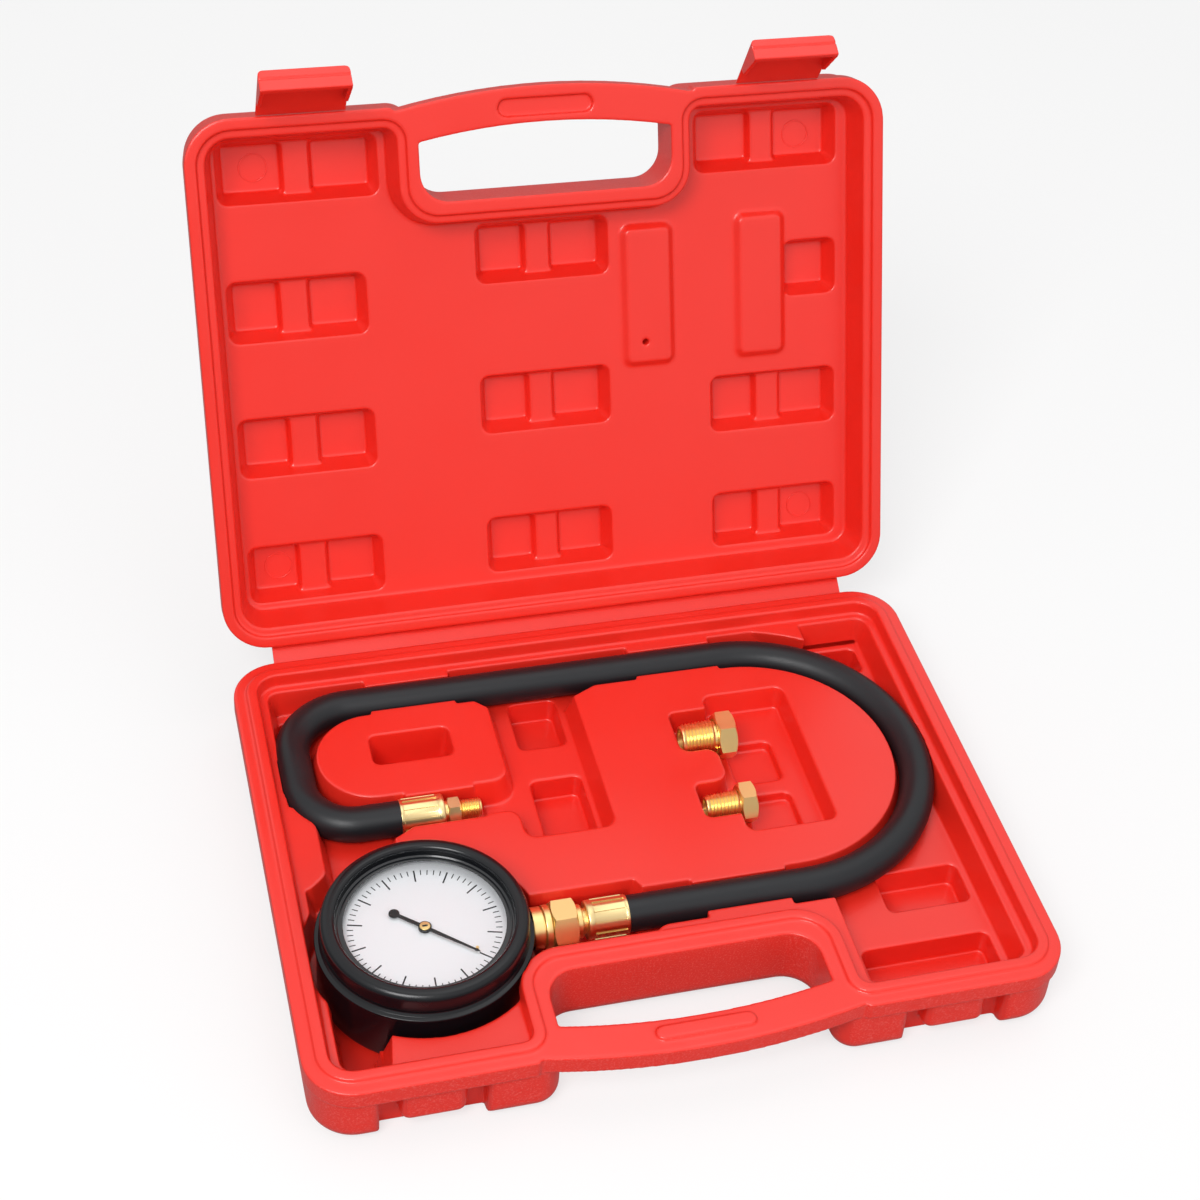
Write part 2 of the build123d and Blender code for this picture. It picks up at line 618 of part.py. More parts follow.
with BuildPart() as case_lid:
    add(lid_shell)
    extrude(rim_plan(lid_rim, LID, LID_STEP_IN), amount=-LID_STEP, mode=Mode.SUBTRACT)
    extrude(
        rim_plan(lid_level(LID_STEP), LID, LID_WALL_IN), amount=LID_STEP - PANEL,
        taper=LID_WALL_DRAFT, mode=Mode.SUBTRACT,
    )
    for x0, x1, v0, v1 in lid_pads:
        pad = panel_box(lid_level(PANEL), x0, x1, v0 - lid_mid, v1 - lid_mid, LID_POCKET_R)
        extrude(pad, amount=PAD_H, taper=PAD_DRAFT)
    inset = (RIB - PANEL) * tan(radians(LID_DRAFT))
    for x0, x1, v0, v1, rib0, rib1 in lid_pairs:
        top = panel_box(lid_level(PANEL), x0, x1, v0 - lid_mid, v1 - lid_mid, LID_POCKET_R)
        extrude(top, amount=PANEL - RIB, taper=LID_DRAFT, mode=Mode.SUBTRACT)
        for a, b in ((x0 + inset, rib0), (rib1, x1 - inset)):
            low = panel_box(lid_level(RIB), a, b, v0 + inset - lid_mid, v1 - inset - lid_mid, LID_POCKET_R - inset)
            extrude(low, amount=RIB - LID_FLOOR, taper=LID_DRAFT, mode=Mode.SUBTRACT)
    x0, x1, v0, v1 = lid_single
    single = panel_box(lid_level(PANEL), x0, x1, v0 - lid_mid, v1 - lid_mid, LID_POCKET_R)
    extrude(single, amount=PANEL - LID_FLOOR, taper=LID_DRAFT, mode=Mode.SUBTRACT)
    with BuildSketch(lid_level(PANEL - PAD_H)) as pad_hole:
        with Locations((right - PAD_HOLE[0], PAD_HOLE[1])):
            Circle(PAD_HOLE[2])
    extrude(pad_hole.sketch, amount=-PAD_H * 2, mode=Mode.SUBTRACT)
    with BuildSketch(lid_rim) as slot:
        with Locations((0, CASE_D / 2 - GRIP_BAR_Y)):
            SlotOverall(GRIP_SLOT[0], GRIP_SLOT[1])
    extrude(slot.sketch, amount=-GRIP_SLOT[2], mode=Mode.SUBTRACT)
    lid_lip = panel_box(
        lid_level(FOLD_DROP + STRIP_T / 2 + FOLD_FIT), -STRIP_HALF, STRIP_HALF,
        -CASE_D / 2 - FOLD_OUT - STRIP_T / 2, -CASE_D / 2 + BODY_INSET * 2,
    )
    extrude(lid_lip, amount=-LIP_T)

# Hinge strip
strip_dir = Vector(0, sin(tilt), cos(tilt))
strip_mid = Vector(0, fold_y, fold_z) + strip_dir * (STRIP_LEN / 2)
with BuildPart() as hinge_strip:
    with BuildSketch(Plane(strip_mid, x_dir=strip_dir, z_dir=(1, 0, 0))):
        SlotCenterToCenter(STRIP_LEN, STRIP_T)
    extrude(amount=STRIP_HALF, both=True)

# Latches
closed_dir = lid_in * -1
latch_angle = radians(LATCH_REST)
latch_dir = closed_dir * cos(latch_angle) + lid_up * sin(latch_angle)
latch_hinge = lid_edge + lid_up * (CASE_D + LATCH_T / 2 + LATCH_FIT) + lid_in * LATCH_LIFT


def latch(side):
    """Latch plate with its side walls and hooked end wall."""
    section = Plane(latch_hinge + Vector(side * latch_x, 0, 0), x_dir=latch_dir, z_dir=(1, 0, 0))
    half_t = LATCH_T / 2
    hook = half_t + LATCH_HOOK
    inside = LATCH_LEN - LATCH_HOOK_T
    groove_y = -half_t + LATCH_GROOVE[0]
    groove_x = LATCH_LEN - LATCH_GROOVE[2]
    wall_at = LATCH_W / 2 - LATCH_WALL / 2
    with BuildPart() as made:
        with BuildSketch(section):
            with BuildLine():
                Polyline(
                    (0, -half_t), (LATCH_LEN, -half_t), (LATCH_LEN, groove_y),
                    (groove_x, groove_y), (groove_x, groove_y + LATCH_GROOVE[1]),
                    (LATCH_LEN, groove_y + LATCH_GROOVE[1]), (LATCH_LEN, hook),
                    (inside, hook), (inside, half_t), (0, half_t), close=True,
                )
            make_face()
            Circle(half_t)
        extrude(amount=LATCH_W / 2, both=True)
        for wall_side in (-1, 1):
            with BuildSketch(section.offset(wall_side * wall_at)):
                with BuildLine():
                    Polyline(
                        (LATCH_WALL_START, half_t), (inside, half_t), (inside, hook),
                        (LATCH_WALL_START, half_t + LATCH_WALL_H), close=True,
                    )
                make_face()
            extrude(amount=LATCH_WALL / 2, both=True)
        across = Plane(section.origin - latch_dir * half_t, x_dir=(-1, 0, 0), z_dir=latch_dir)
        low, high = -half_t, hook + 1
        wide = LATCH_W / 2
        edge = [(-wide, low), (wide, low), (wide, high), (-wide, high)]
        rounded = outline(across, edge, [LATCH_CORNER_R, LATCH_CORNER_R, 0, 0])
        extrude(rounded, amount=LATCH_LEN + half_t, mode=Mode.INTERSECT)
    return made.part


with BuildPart() as left_latch:
    add(latch(-1))
with BuildPart() as right_latch:
    add(latch(1))

# Gauge: boot, can, bezel, lens, gasket
stem_hole = Plane((gauge_x, gauge_y, stem_z), x_dir=(0, 1, 0), z_dir=(1, 0, 0))
can_bottom = -BOOT_BOTTOM + BOOT_FLOOR + GAUGE_FIT
rim_top = BEZEL_TOP - BEZEL_T - GAUGE_FIT - LENS_T - GAUGE_FIT - GASKET_T - GAUGE_FIT
with BuildPart() as gauge_boot:
    revolve(
        gauge_turned(
            [
                (0, -BOOT_BOTTOM), (BOOT_R, -BOOT_BOTTOM), (BOOT_R, -2.0),
                (BOOT_R + BOOT_RIB, -1.6), (BOOT_R + BOOT_RIB, -0.6), (BOOT_TOP_R + 0.6, -0.2),
                (BOOT_TOP_R, 1.2), (BOOT_TOP_R, BOOT_TOP), (BOOT_LIP_R, BOOT_TOP),
                (BOOT_LIP_R, BEZEL_TOP + GAUGE_FIT), (BEZEL_R + GAUGE_FIT, BEZEL_TOP + GAUGE_FIT),
                (BEZEL_R + GAUGE_FIT, -BOOT_BOTTOM + BOOT_FLOOR), (0, -BOOT_BOTTOM + BOOT_FLOOR),
            ],
            [0, 3, 0, 0.4, 0.4, 0, 0, 2.6, 2.4, 0, 0, 0, 0],
        ),
        axis=gauge_axis,
    )
    with BuildSketch(stem_hole):
        Circle(SHANK_R + FIT)
    extrude(amount=BOOT_R + BOOT_RIB + 1, mode=Mode.SUBTRACT)

with BuildPart() as gauge_can:
    inner = CAN_R - CAN_T
    ledge = DIAL_TOP - DIAL_T - GAUGE_FIT
    revolve(
        gauge_turned(
            [
                (0, can_bottom), (CAN_R, can_bottom), (CAN_R, rim_top), (inner, rim_top),
                (inner, ledge), (inner - 1.6, ledge), (inner - 1.6, ledge - 0.7), (inner, ledge - 1.8),
                (inner, can_bottom + CAN_T), (0, can_bottom + CAN_T),
            ],
            [0, 2, 0, 0, 0, 0, 0, 0, 1.2, 0],
        ),
        axis=gauge_axis,
    )
    with BuildSketch(stem_hole):
        Circle(SHANK_R + FIT)
    extrude(amount=CAN_R + 1, mode=Mode.SUBTRACT)

with BuildPart() as gauge_bezel:
    under = BEZEL_TOP - BEZEL_T
    revolve(
        gauge_turned(
            [
                (CAN_R + GAUGE_FIT, BEZEL_LOW), (BEZEL_R, BEZEL_LOW), (BEZEL_R, BEZEL_TOP), (BEZEL_IN_R + 2.0, BEZEL_TOP),
                (BEZEL_IN_R + 1.5, BEZEL_TOP - 0.3), (BEZEL_IN_R, BEZEL_TOP - 0.3), (BEZEL_IN_R, under),
                (CAN_R + GAUGE_FIT, under),
            ],
            [0, 0, 0.3, 0, 0, 0.2, 0, 0],
        ),
        axis=gauge_axis,
    )

with BuildPart() as gauge_lens:
    lens_top = BEZEL_TOP - BEZEL_T - GAUGE_FIT
    with BuildSketch(gauge_plane(lens_top - LENS_T)):
        Circle(CAN_R)
    extrude(amount=LENS_T)

with BuildPart() as lens_gasket:
    with BuildSketch(gauge_plane(rim_top + GAUGE_FIT)):
        Circle(CAN_R)
        Circle(CAN_R - CAN_T * 2, mode=Mode.SUBTRACT)
    extrude(amount=GASKET_T)

# Dial with its stop pin
pin_angle = radians(POINTER_ANGLE) + (STOP_PIN_R + 0.45) / STOP_RADIUS
pin_at = (STOP_RADIUS * cos(pin_angle), STOP_RADIUS * sin(pin_angle))
with BuildPart() as gauge_dial:
    with BuildSketch(gauge_plane(DIAL_TOP - DIAL_T)):
        Circle(DIAL_R)
        Circle(ARBOR_R * 2, mode=Mode.SUBTRACT)
        with Locations(pin_at):
            Circle(STOP_PIN_R + FIT, mode=Mode.SUBTRACT)
    extrude(amount=DIAL_T)

with BuildPart() as stop_pin:
    with BuildSketch(gauge_plane(DIAL_TOP - DIAL_T * 2)):
        with Locations(pin_at):
            Circle(STOP_PIN_R)
    extrude(amount=POINTER_Z[1] + DIAL_T - DIAL_TOP + DIAL_T)

# Pointer, its brass cap, and the arbor with the pinion
pointer_plane = Plane(
    (gauge_x, gauge_y, BASE_H + POINTER_Z[0]),
    x_dir=(cos(radians(POINTER_ANGLE)), sin(radians(POINTER_ANGLE)), 0), z_dir=(0, 0, 1),
)
boss_top = POINTER_Z[1] + 0.3
with BuildPart() as pointer:
    with BuildSketch(pointer_plane):
        with BuildLine():
            Polyline(
                (0, -0.7), (POINTER_LEN - 1.8, -0.3), (POINTER_LEN - 1.8, -0.6), (POINTER_LEN, 0),
                (POINTER_LEN - 1.8, 0.6), (POINTER_LEN - 1.8, 0.3), (0, 0.7), (-POINTER_TAIL, 0.6),
                (-POINTER_TAIL, -0.6), close=True,
            )
        make_face()
        with Locations((-POINTER_TAIL, 0)):
            Circle(POINTER_TAIL_R)
        Circle(HUB_R)
        Circle(ARBOR_R + FIT, mode=Mode.SUBTRACT)
    extrude(amount=POINTER_Z[1] - POINTER_Z[0])
    with BuildSketch(gauge_plane(DIAL_TOP + 0.25)):
        Circle(HUB_R)
        Circle(ARBOR_R + FIT, mode=Mode.SUBTRACT)
    extrude(amount=boss_top - DIAL_TOP - 0.25)

with BuildPart() as pointer_hub:
    with BuildSketch(gauge_plane(boss_top)):
        Circle(CAP_R)
    extrude(amount=0.35)
    fillet(pointer_hub.edges().group_by(Axis.Z)[-1], 0.15)

pitch = MODULE * pi
root_r = MODULE * (PINION_TEETH / 2 - 1.25)
tip_r = MODULE * (PINION_TEETH / 2 + 0.7)
with BuildPart() as pointer_arbor:
    with BuildSketch(gauge_plane(BACK_PLATE + 0.1)):
        Circle(ARBOR_R)
    extrude(amount=boss_top - 0.05 - BACK_PLATE - 0.1)
    with BuildSketch(gauge_plane(SECTOR_Z[0] - 0.8)):
        Circle(root_r)
        with PolarLocations(0, PINION_TEETH, start_angle=SECTOR_ANGLE):
            Polygon(
                (0.6, -pitch * 0.22), (tip_r, -pitch * 0.1), (tip_r, pitch * 0.1), (0.6, pitch * 0.22),
                align=None,
            )
    extrude(amount=SECTOR_Z[1] - SECTOR_Z[0] + 1.6)

# Toothed sector with its tail and arbor
arm_angle = SECTOR_ANGLE + 180
sector_root = MODULE * (SECTOR_TEETH / 2 - 1.25)
sector_tip = MODULE * (SECTOR_TEETH / 2 + 0.7)
sector_plane = Plane(
    (gauge_x + sector_x, gauge_y + sector_y, BASE_H + SECTOR_Z[0]),
    x_dir=(cos(radians(arm_angle)), sin(radians(arm_angle)), 0), z_dir=(0, 0, 1),
)
tooth_angle = 360 / SECTOR_TEETH
sector_sweep = POINTER_SWEEP * PINION_TEETH / SECTOR_TEETH
teeth_before = int(sector_sweep / tooth_angle) + 2
teeth_after = 2
rim_low = -(teeth_before + 0.5) * tooth_angle
rim_high = (teeth_after + 0.5) * tooth_angle
tail_local = TAIL_ANGLE - arm_angle
with BuildPart() as sector_gear:
    with BuildSketch(sector_plane):
        with BuildLine():
            CenterArc((0, 0), sector_root, rim_low, rim_high - rim_low)
            Line((0, 0), (sector_root * cos(radians(rim_low)), sector_root * sin(radians(rim_low))))
            Line((0, 0), (sector_root * cos(radians(rim_high)), sector_root * sin(radians(rim_high))))
        make_face()
        with BuildLine():
            window = (rim_low + 8, rim_high - 8)
            CenterArc((0, 0), sector_root - 2.2, window[0], window[1] - window[0])
            CenterArc((0, 0), 4.2, window[0], window[1] - window[0])
            for angle in window:
                Line(
                    (4.2 * cos(radians(angle)), 4.2 * sin(radians(angle))),
                    ((sector_root - 2.2) * cos(radians(angle)), (sector_root - 2.2) * sin(radians(angle))),
                )
        make_face(mode=Mode.SUBTRACT)
        for count in range(-teeth_before, teeth_after + 1):
            with PolarLocations(0, 1, start_angle=(count + 0.5) * tooth_angle - tooth_angle):
                Polygon(
                    (sector_root - 0.5, -pitch * 0.25), (sector_tip, -pitch * 0.1),
                    (sector_tip, pitch * 0.1), (sector_root - 0.5, pitch * 0.25), align=None,
                )
        Circle(2.4)
        with PolarLocations(0, 1, start_angle=tail_local):
            with Locations((TAIL_R / 2, 0)):
                SlotCenterToCenter(TAIL_R, 2.4)
    extrude(amount=SECTOR_Z[1] - SECTOR_Z[0])
    with BuildSketch(gauge_plane(BACK_PLATE + 0.1)):
        with Locations((sector_x, sector_y)):
            Circle(ARBOR_R)
    extrude(amount=FRONT_PLATE + PLATE_T - BACK_PLATE - 0.2)
    with BuildSketch(gauge_plane(SECTOR_Z[0])):
        with Locations((tail_x, tail_y)):
            Circle(0.5)
    extrude(amount=LINK_Z[1] - SECTOR_Z[0] + 0.3)

link_dir = Vector(LINK_END[0] - tail_x, LINK_END[1] - tail_y, 0)
link_plane = Plane(
    (gauge_x + tail_x, gauge_y + tail_y, BASE_H + LINK_Z[0]), x_dir=link_dir, z_dir=(0, 0, 1),
)
with BuildPart() as link:
    with BuildSketch(link_plane):
        with Locations((link_dir.length / 2, 0)):
            SlotCenterToCenter(link_dir.length, 2.2)
        Circle(0.5 + FIT, mode=Mode.SUBTRACT)
    extrude(amount=LINK_Z[1] - LINK_Z[0])

# Curved tube, its tip and the socket
tube_mid_z = (TUBE_Z[0] + TUBE_Z[1]) / 2
tube_start = -degrees(asin((SOCKET_HALF + 0.1) / (TUBE_R - TUBE_W / 2)))


def tube_arc(start, end, width, low, high):
    """Length of curved bar about the gauge's centre."""
    with BuildPart() as made:
        with BuildSketch(gauge_plane(low)):
            with BuildLine():
                CenterArc((0, 0), TUBE_R + width / 2, start, end - start)
                CenterArc((0, 0), TUBE_R - width / 2, start, end - start)
                for angle in (start, end):
                    Line(
                        ((TUBE_R - width / 2) * cos(radians(angle)), (TUBE_R - width / 2) * sin(radians(angle))),
                        ((TUBE_R + width / 2) * cos(radians(angle)), (TUBE_R + width / 2) * sin(radians(angle))),
                    )
            make_face()
        extrude(amount=high - low)
    return made.part


with BuildPart() as bourdon_tube:
    add(tube_arc(tube_start, TUBE_TIP_ANGLE - 360, TUBE_W, TUBE_Z[0], TUBE_Z[1]))

with BuildPart() as tube_tip:
    tip_start = TUBE_TIP_ANGLE - 0.2
    add(tube_arc(tip_start, tip_start - TIP_SWEEP, TUBE_W + 0.4, TUBE_Z[0] - 0.2, TUBE_Z[1] + 0.2))
    tip_mid = radians(tip_start - TIP_SWEEP / 2)
    ear_from = (TUBE_R * cos(tip_mid), TUBE_R * sin(tip_mid))
    ear_dir = Vector(LINK_END[0] - ear_from[0], LINK_END[1] - ear_from[1], 0)
    with BuildSketch(
        Plane(
            (gauge_x + ear_from[0], gauge_y + ear_from[1], BASE_H + TUBE_Z[1]), x_dir=ear_dir, z_dir=(0, 0, 1)
        )
    ):
        with Locations((ear_dir.length / 2, 0)):
            SlotCenterToCenter(ear_dir.length, 2.4)
    extrude(amount=LINK_Z[0] - TUBE_Z[1] - 0.1)

with BuildPart() as gauge_socket:
    block_in = TUBE_R - TUBE_W / 2 - 0.5
    block_out = sqrt((CAN_R - CAN_T - 0.15) ** 2 - SOCKET_HALF ** 2)
    foot_low = BACK_PLATE - 0.05 - SOCKET_FOOT
    with BuildSketch(gauge_section):
        with BuildLine():
            Polyline(
                (-6, foot_low), (block_out, foot_low), (block_out, -STEM_DEPTH + SOCKET_HALF),
                (block_in, -STEM_DEPTH + SOCKET_HALF), (block_in, BACK_PLATE - 0.05),
                (-6, BACK_PLATE - 0.05), close=True,
            )
        make_face()
    extrude(amount=SOCKET_HALF, both=True)
    shank_start = block_out - 1
    with BuildSketch(along_stem(shank_start)):
        Circle(SHANK_R)
    extrude(amount=NUT_X[1] - NUT_WALL - 2.2 - shank_start)
    with BuildSketch(along_stem(COLLAR_X[0])):
        Circle(COLLAR_R)
    extrude(amount=COLLAR_X[1] - COLLAR_X[0])
    with BuildSketch(along_stem(block_in + 2)):
        Circle(NIPPLE_BORE_R)
    extrude(amount=NUT_X[1] - block_in, mode=Mode.SUBTRACT)

# Movement plates, pillars and screws
pillars = [(-8.0, 6.0), (-8.0, -8.0), (9.5, -14.5), (9.5, 11.5)]


def movement_plate(height):
    """Plate that carries the centre and the sector's arbor."""
    with BuildPart() as made:
        with BuildSketch(gauge_plane(height)):
            with Locations(*pillars, (sector_x, sector_y)):
                Circle(3.2)
            make_hull()
            with Locations((0, 0), (sector_x, sector_y)):
                Circle(ARBOR_R + FIT, mode=Mode.SUBTRACT)
        extrude(amount=PLATE_T)
    return made.part


with BuildPart() as movement_back_plate:
    add(movement_plate(BACK_PLATE))
with BuildPart() as movement_front_plate:
    add(movement_plate(FRONT_PLATE))
with BuildPart() as movement_pillars:
    with BuildSketch(gauge_plane(BACK_PLATE + PLATE_T)):
        with Locations(*pillars):
            Circle(1.3)
    extrude(amount=FRONT_PLATE - BACK_PLATE - PLATE_T)
with BuildPart() as movement_screws:
    with BuildSketch(gauge_plane(BACK_PLATE + PLATE_T)):
        with Locations((-4.0, 0), (6.5, 0)):
            Circle(1.6)
    extrude(amount=0.9)

with BuildPart() as hairspring:
    with BuildSketch(gauge_plane(-4.6)):
        for half in range(2 * SPRING_TURNS):
            radius = SPRING_IN + half * SPRING_STEP / 2
            centre = 0 if half % 2 == 0 else SPRING_STEP / 2
            with BuildLine():
                start = 0 if half % 2 == 0 else 180
                CenterArc((centre, 0), radius, start, 180)
                CenterArc((centre, 0), radius + SPRING_T, start, 180)
                for end in (-1, 1):
                    Line((centre + end * radius, 0), (centre + end * (radius + SPRING_T), 0))
            make_face()
    extrude(amount=0.6)

# Ring, nut and nipples
with BuildPart() as seal_ring:
    with BuildSketch(along_stem(RING_X[0])):
        Circle(RING_R)
        Circle(SHANK_R + FIT, mode=Mode.SUBTRACT)
    extrude(amount=RING_X[1] - RING_X[0] - FIT)

with BuildPart() as swivel_nut:
    with BuildSketch(along_stem(NUT_X[0])):
        RegularPolygon(NUT_AF / 2, 6, major_radius=False)
    extrude(amount=NUT_X[1] - NUT_X[0])
    with BuildSketch(along_stem(NUT_X[0])):
        Circle(SHANK_R + FIT)
    extrude(amount=NUT_X[1] - NUT_X[0] - NUT_WALL, mode=Mode.SUBTRACT)
    with BuildSketch(along_stem(NUT_X[0])):
        Circle(NIPPLE_R + 0.3)
    extrude(amount=NUT_X[1] - NUT_X[0], mode=Mode.SUBTRACT)

with BuildPart() as gauge_end_nipple:
    flange_x = NUT_X[1] - NUT_WALL - FIT
    stem_end = FERRULE_X[1] - 1.7
    revolve(
        turned_along_x(
            [
                (flange_x - 1.6, NIPPLE_BORE_R), (flange_x - 1.6, SHANK_R - 0.4), (flange_x, SHANK_R - 0.4),
                (flange_x, NIPPLE_R), (NUT_X[1] + FIT, NIPPLE_R), (NUT_X[1] + FIT, NIPPLE_COLLAR_R),
                (NIPPLE_COLLAR_X, NIPPLE_COLLAR_R), (NIPPLE_COLLAR_X, NIPPLE_R), (stem_end, NIPPLE_R),
                (stem_end, NIPPLE_BORE_R),
            ],
            gauge_y, stem_z,
        ),
        axis=Axis((0, gauge_y, stem_z), (1, 0, 0)),
    )


def ferrule(x0, x1, wall_first, y, outer_r):
    """Crimped sleeve with one closed end that the nipple passes through."""
    inner = HOSE_R + FIT
    if wall_first:
        open_x, wall_x, end_x = x1, x0 + FERRULE_WALL, x0
    else:
        open_x, wall_x, end_x = x0, x1 - FERRULE_WALL, x1
    run = open_x - end_x
    waists = []
    for share in (0.3, 0.5, 0.7):
        middle = end_x + run * share
        step = run * 0.06
        waists += [(middle - step, outer_r), (middle - step / 2, outer_r - CRIMP)]
        waists += [(middle + step / 2, outer_r - CRIMP), (middle + step, outer_r)]
    with BuildPart() as made:
        revolve(
            turned_along_x(
                [
                    (end_x, NIPPLE_R + FIT), (end_x, outer_r), *waists, (open_x, outer_r), (open_x, inner),
                    (wall_x, inner), (wall_x, NIPPLE_R + FIT),
                ],
                y, stem_z,
            ),
            axis=Axis((0, y, stem_z), (1, 0, 0)),
        )
    return made.part


with BuildPart() as gauge_end_ferrule:
    add(ferrule(*FERRULE_X, True, gauge_y, FERRULE_R))
with BuildPart() as far_end_ferrule:
    add(ferrule(*FAR_FERRULE_X, False, far_y, FAR_FERRULE_R))

with BuildPart() as pressure_hose:
    with BuildSketch(hose_start) as hose_section:
        Circle(HOSE_R)
    sweep(hose_section.sketch, path=hose_line.wire())
    with BuildSketch(hose_start) as near_bore:
        Circle(NIPPLE_R + FIT)
    extrude(near_bore.sketch, amount=FERRULE_X[1] - FERRULE_X[0] - 2, mode=Mode.SUBTRACT)
    with BuildSketch(along_stem(route[-1][0] - gauge_x, far_y)) as far_bore:
        Circle(NIPPLE_R + FIT)
    extrude(far_bore.sketch, amount=FAR_FERRULE_X[0] - FAR_FERRULE_X[1] + 2, mode=Mode.SUBTRACT)

with BuildPart() as far_end_nipple:
    revolve(
        turned_along_x(
            [
                (FAR_FERRULE_X[0] + 2.5, NIPPLE_BORE_R), (FAR_FERRULE_X[0] + 2.5, NIPPLE_R),
                (FAR_FERRULE_X[1] + FIT, NIPPLE_R), (FAR_FERRULE_X[1] + FIT, FAR_NECK_R),
                (FAR_HEX_X[1], FAR_NECK_R), (FAR_HEX_X[1], FAR_THREAD_R), (FAR_THREAD_X - 0.6, FAR_THREAD_R),
                (FAR_THREAD_X, FAR_THREAD_R - 0.6), (FAR_THREAD_X, NIPPLE_BORE_R),
            ],
            far_y, stem_z,
        ),
        axis=Axis((0, far_y, stem_z), (1, 0, 0)),
    )
    with BuildSketch(along_stem(FAR_HEX_X[0], far_y)):
        RegularPolygon(FAR_HEX_AF / 2, 6, major_radius=False)
        Circle(NIPPLE_BORE_R, mode=Mode.SUBTRACT)
    extrude(amount=FAR_HEX_X[1] - FAR_HEX_X[0])


def adapter(places, across, thread_r, from_middle, bore_r):
    """Adapter with an outside thread, a hexagon and an inside thread."""
    start, hex_start, hex_end = places
    y = bend_y + from_middle
    axis_z = BASE_H - MID + FIT + across / 2
    with BuildPart() as made:
        revolve(
            turned_along_x(
                [
                    (start, bore_r), (start, thread_r - 0.9), (start + 0.7, thread_r - 0.4),
                    (hex_start, thread_r), (hex_start, bore_r),
                ],
                y, axis_z, bend_x,
            ),
            axis=Axis((0, y, axis_z), (1, 0, 0)),
        )
        with BuildSketch(along_stem(hex_start, y, axis_z, bend_x)):
            RegularPolygon(across / 2, 6, major_radius=False)
            Circle(bore_r, mode=Mode.SUBTRACT)
        extrude(amount=hex_end - hex_start)
        with BuildSketch(along_stem(hex_end, y, axis_z, bend_x)):
            Circle(bore_r * 1.5)
        extrude(amount=-(hex_end - hex_start), mode=Mode.SUBTRACT)
    return made.part


with BuildPart() as large_adapter:
    add(adapter(LARGE_X, LARGE_AF, LARGE_THREAD_R, LARGE_Y, 3.6))
with BuildPart() as small_adapter:
    add(adapter(SMALL_X, SMALL_AF, SMALL_THREAD_R, SMALL_Y, 2.8))

finished = {
    "case_base": case_base, "case_lid": case_lid, "hinge_strip": hinge_strip,
    "left_latch": left_latch, "right_latch": right_latch, "gauge_boot": gauge_boot,
    "gauge_can": gauge_can, "gauge_bezel": gauge_bezel, "gauge_lens": gauge_lens,
    "lens_gasket": lens_gasket, "gauge_dial": gauge_dial, "stop_pin": stop_pin,
    "pointer": pointer, "pointer_hub": pointer_hub, "pointer_arbor": pointer_arbor,
    "sector_gear": sector_gear, "link": link, "hairspring": hairspring,
    "bourdon_tube": bourdon_tube, "tube_tip": tube_tip, "gauge_socket": gauge_socket,
    "movement_back_plate": movement_back_plate, "movement_front_plate": movement_front_plate,
    "movement_pillars": movement_pillars, "movement_screws": movement_screws,
    "seal_ring": seal_ring, "swivel_nut": swivel_nut, "gauge_end_nipple": gauge_end_nipple,
    "gauge_end_ferrule": gauge_end_ferrule, "pressure_hose": pressure_hose,
    "far_end_ferrule": far_end_ferrule, "far_end_nipple": far_end_nipple,
    "large_adapter": large_adapter, "small_adapter": small_adapter,
}
os.makedirs("parts", exist_ok=True)
for name, piece in finished.items():
    piece.part.label = name
    export_step(piece.part, f"parts/{name}.step")
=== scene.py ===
"""Looks of the engine oil pressure tester in its moulded case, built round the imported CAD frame."""

import json
import logging
import math
from dataclasses import dataclass
from enum import Enum
from functools import cache
from typing import Callable, Sequence

import bmesh
import bpy
from mathutils import Matrix, Vector


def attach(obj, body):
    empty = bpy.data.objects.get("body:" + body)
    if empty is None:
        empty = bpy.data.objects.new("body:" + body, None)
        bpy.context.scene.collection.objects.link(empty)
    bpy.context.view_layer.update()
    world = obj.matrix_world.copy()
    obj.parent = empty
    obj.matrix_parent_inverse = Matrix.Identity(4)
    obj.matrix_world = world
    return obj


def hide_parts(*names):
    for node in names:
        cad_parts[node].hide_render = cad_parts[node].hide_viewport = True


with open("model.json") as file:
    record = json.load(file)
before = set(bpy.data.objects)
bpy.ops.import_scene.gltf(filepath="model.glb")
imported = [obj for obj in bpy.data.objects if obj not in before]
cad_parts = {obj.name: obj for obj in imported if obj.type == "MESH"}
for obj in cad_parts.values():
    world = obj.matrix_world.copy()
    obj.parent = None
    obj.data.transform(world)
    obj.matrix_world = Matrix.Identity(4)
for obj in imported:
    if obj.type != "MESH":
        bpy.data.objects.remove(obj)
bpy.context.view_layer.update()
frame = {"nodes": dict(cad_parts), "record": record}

log = logging.getLogger("tester")
MM = 0.001
BASE_H = 28.0
LEAN = math.radians(21.0)
LID_EDGE = (108.271, 31.279)    # lid rim's lower edge, Y and Z
CASE_HALF = (135.0, 103.5)
CORNER_R = 17.5
GAUGE = (-85.2, -41.0)
DIAL_H = 1.8                    # dial's face above the base's rim
STEM_Z = BASE_H - 7.3
COAT_ROUGHNESS = 0.2
WHITE = (1.0, 1.0, 1.0, 1.0)


class Body(Enum):
    """CAD bodies that the pieces ride on."""

    BASE = "base"
    LID = "lid"
    LEFT_LATCH = "left_latch"
    RIGHT_LATCH = "right_latch"
    POINTER = "pointer"


class Turning(Enum):
    """Direction of the axis that a turned piece is made about."""

    UP = "z"
    ALONG = "x"


# Node trees


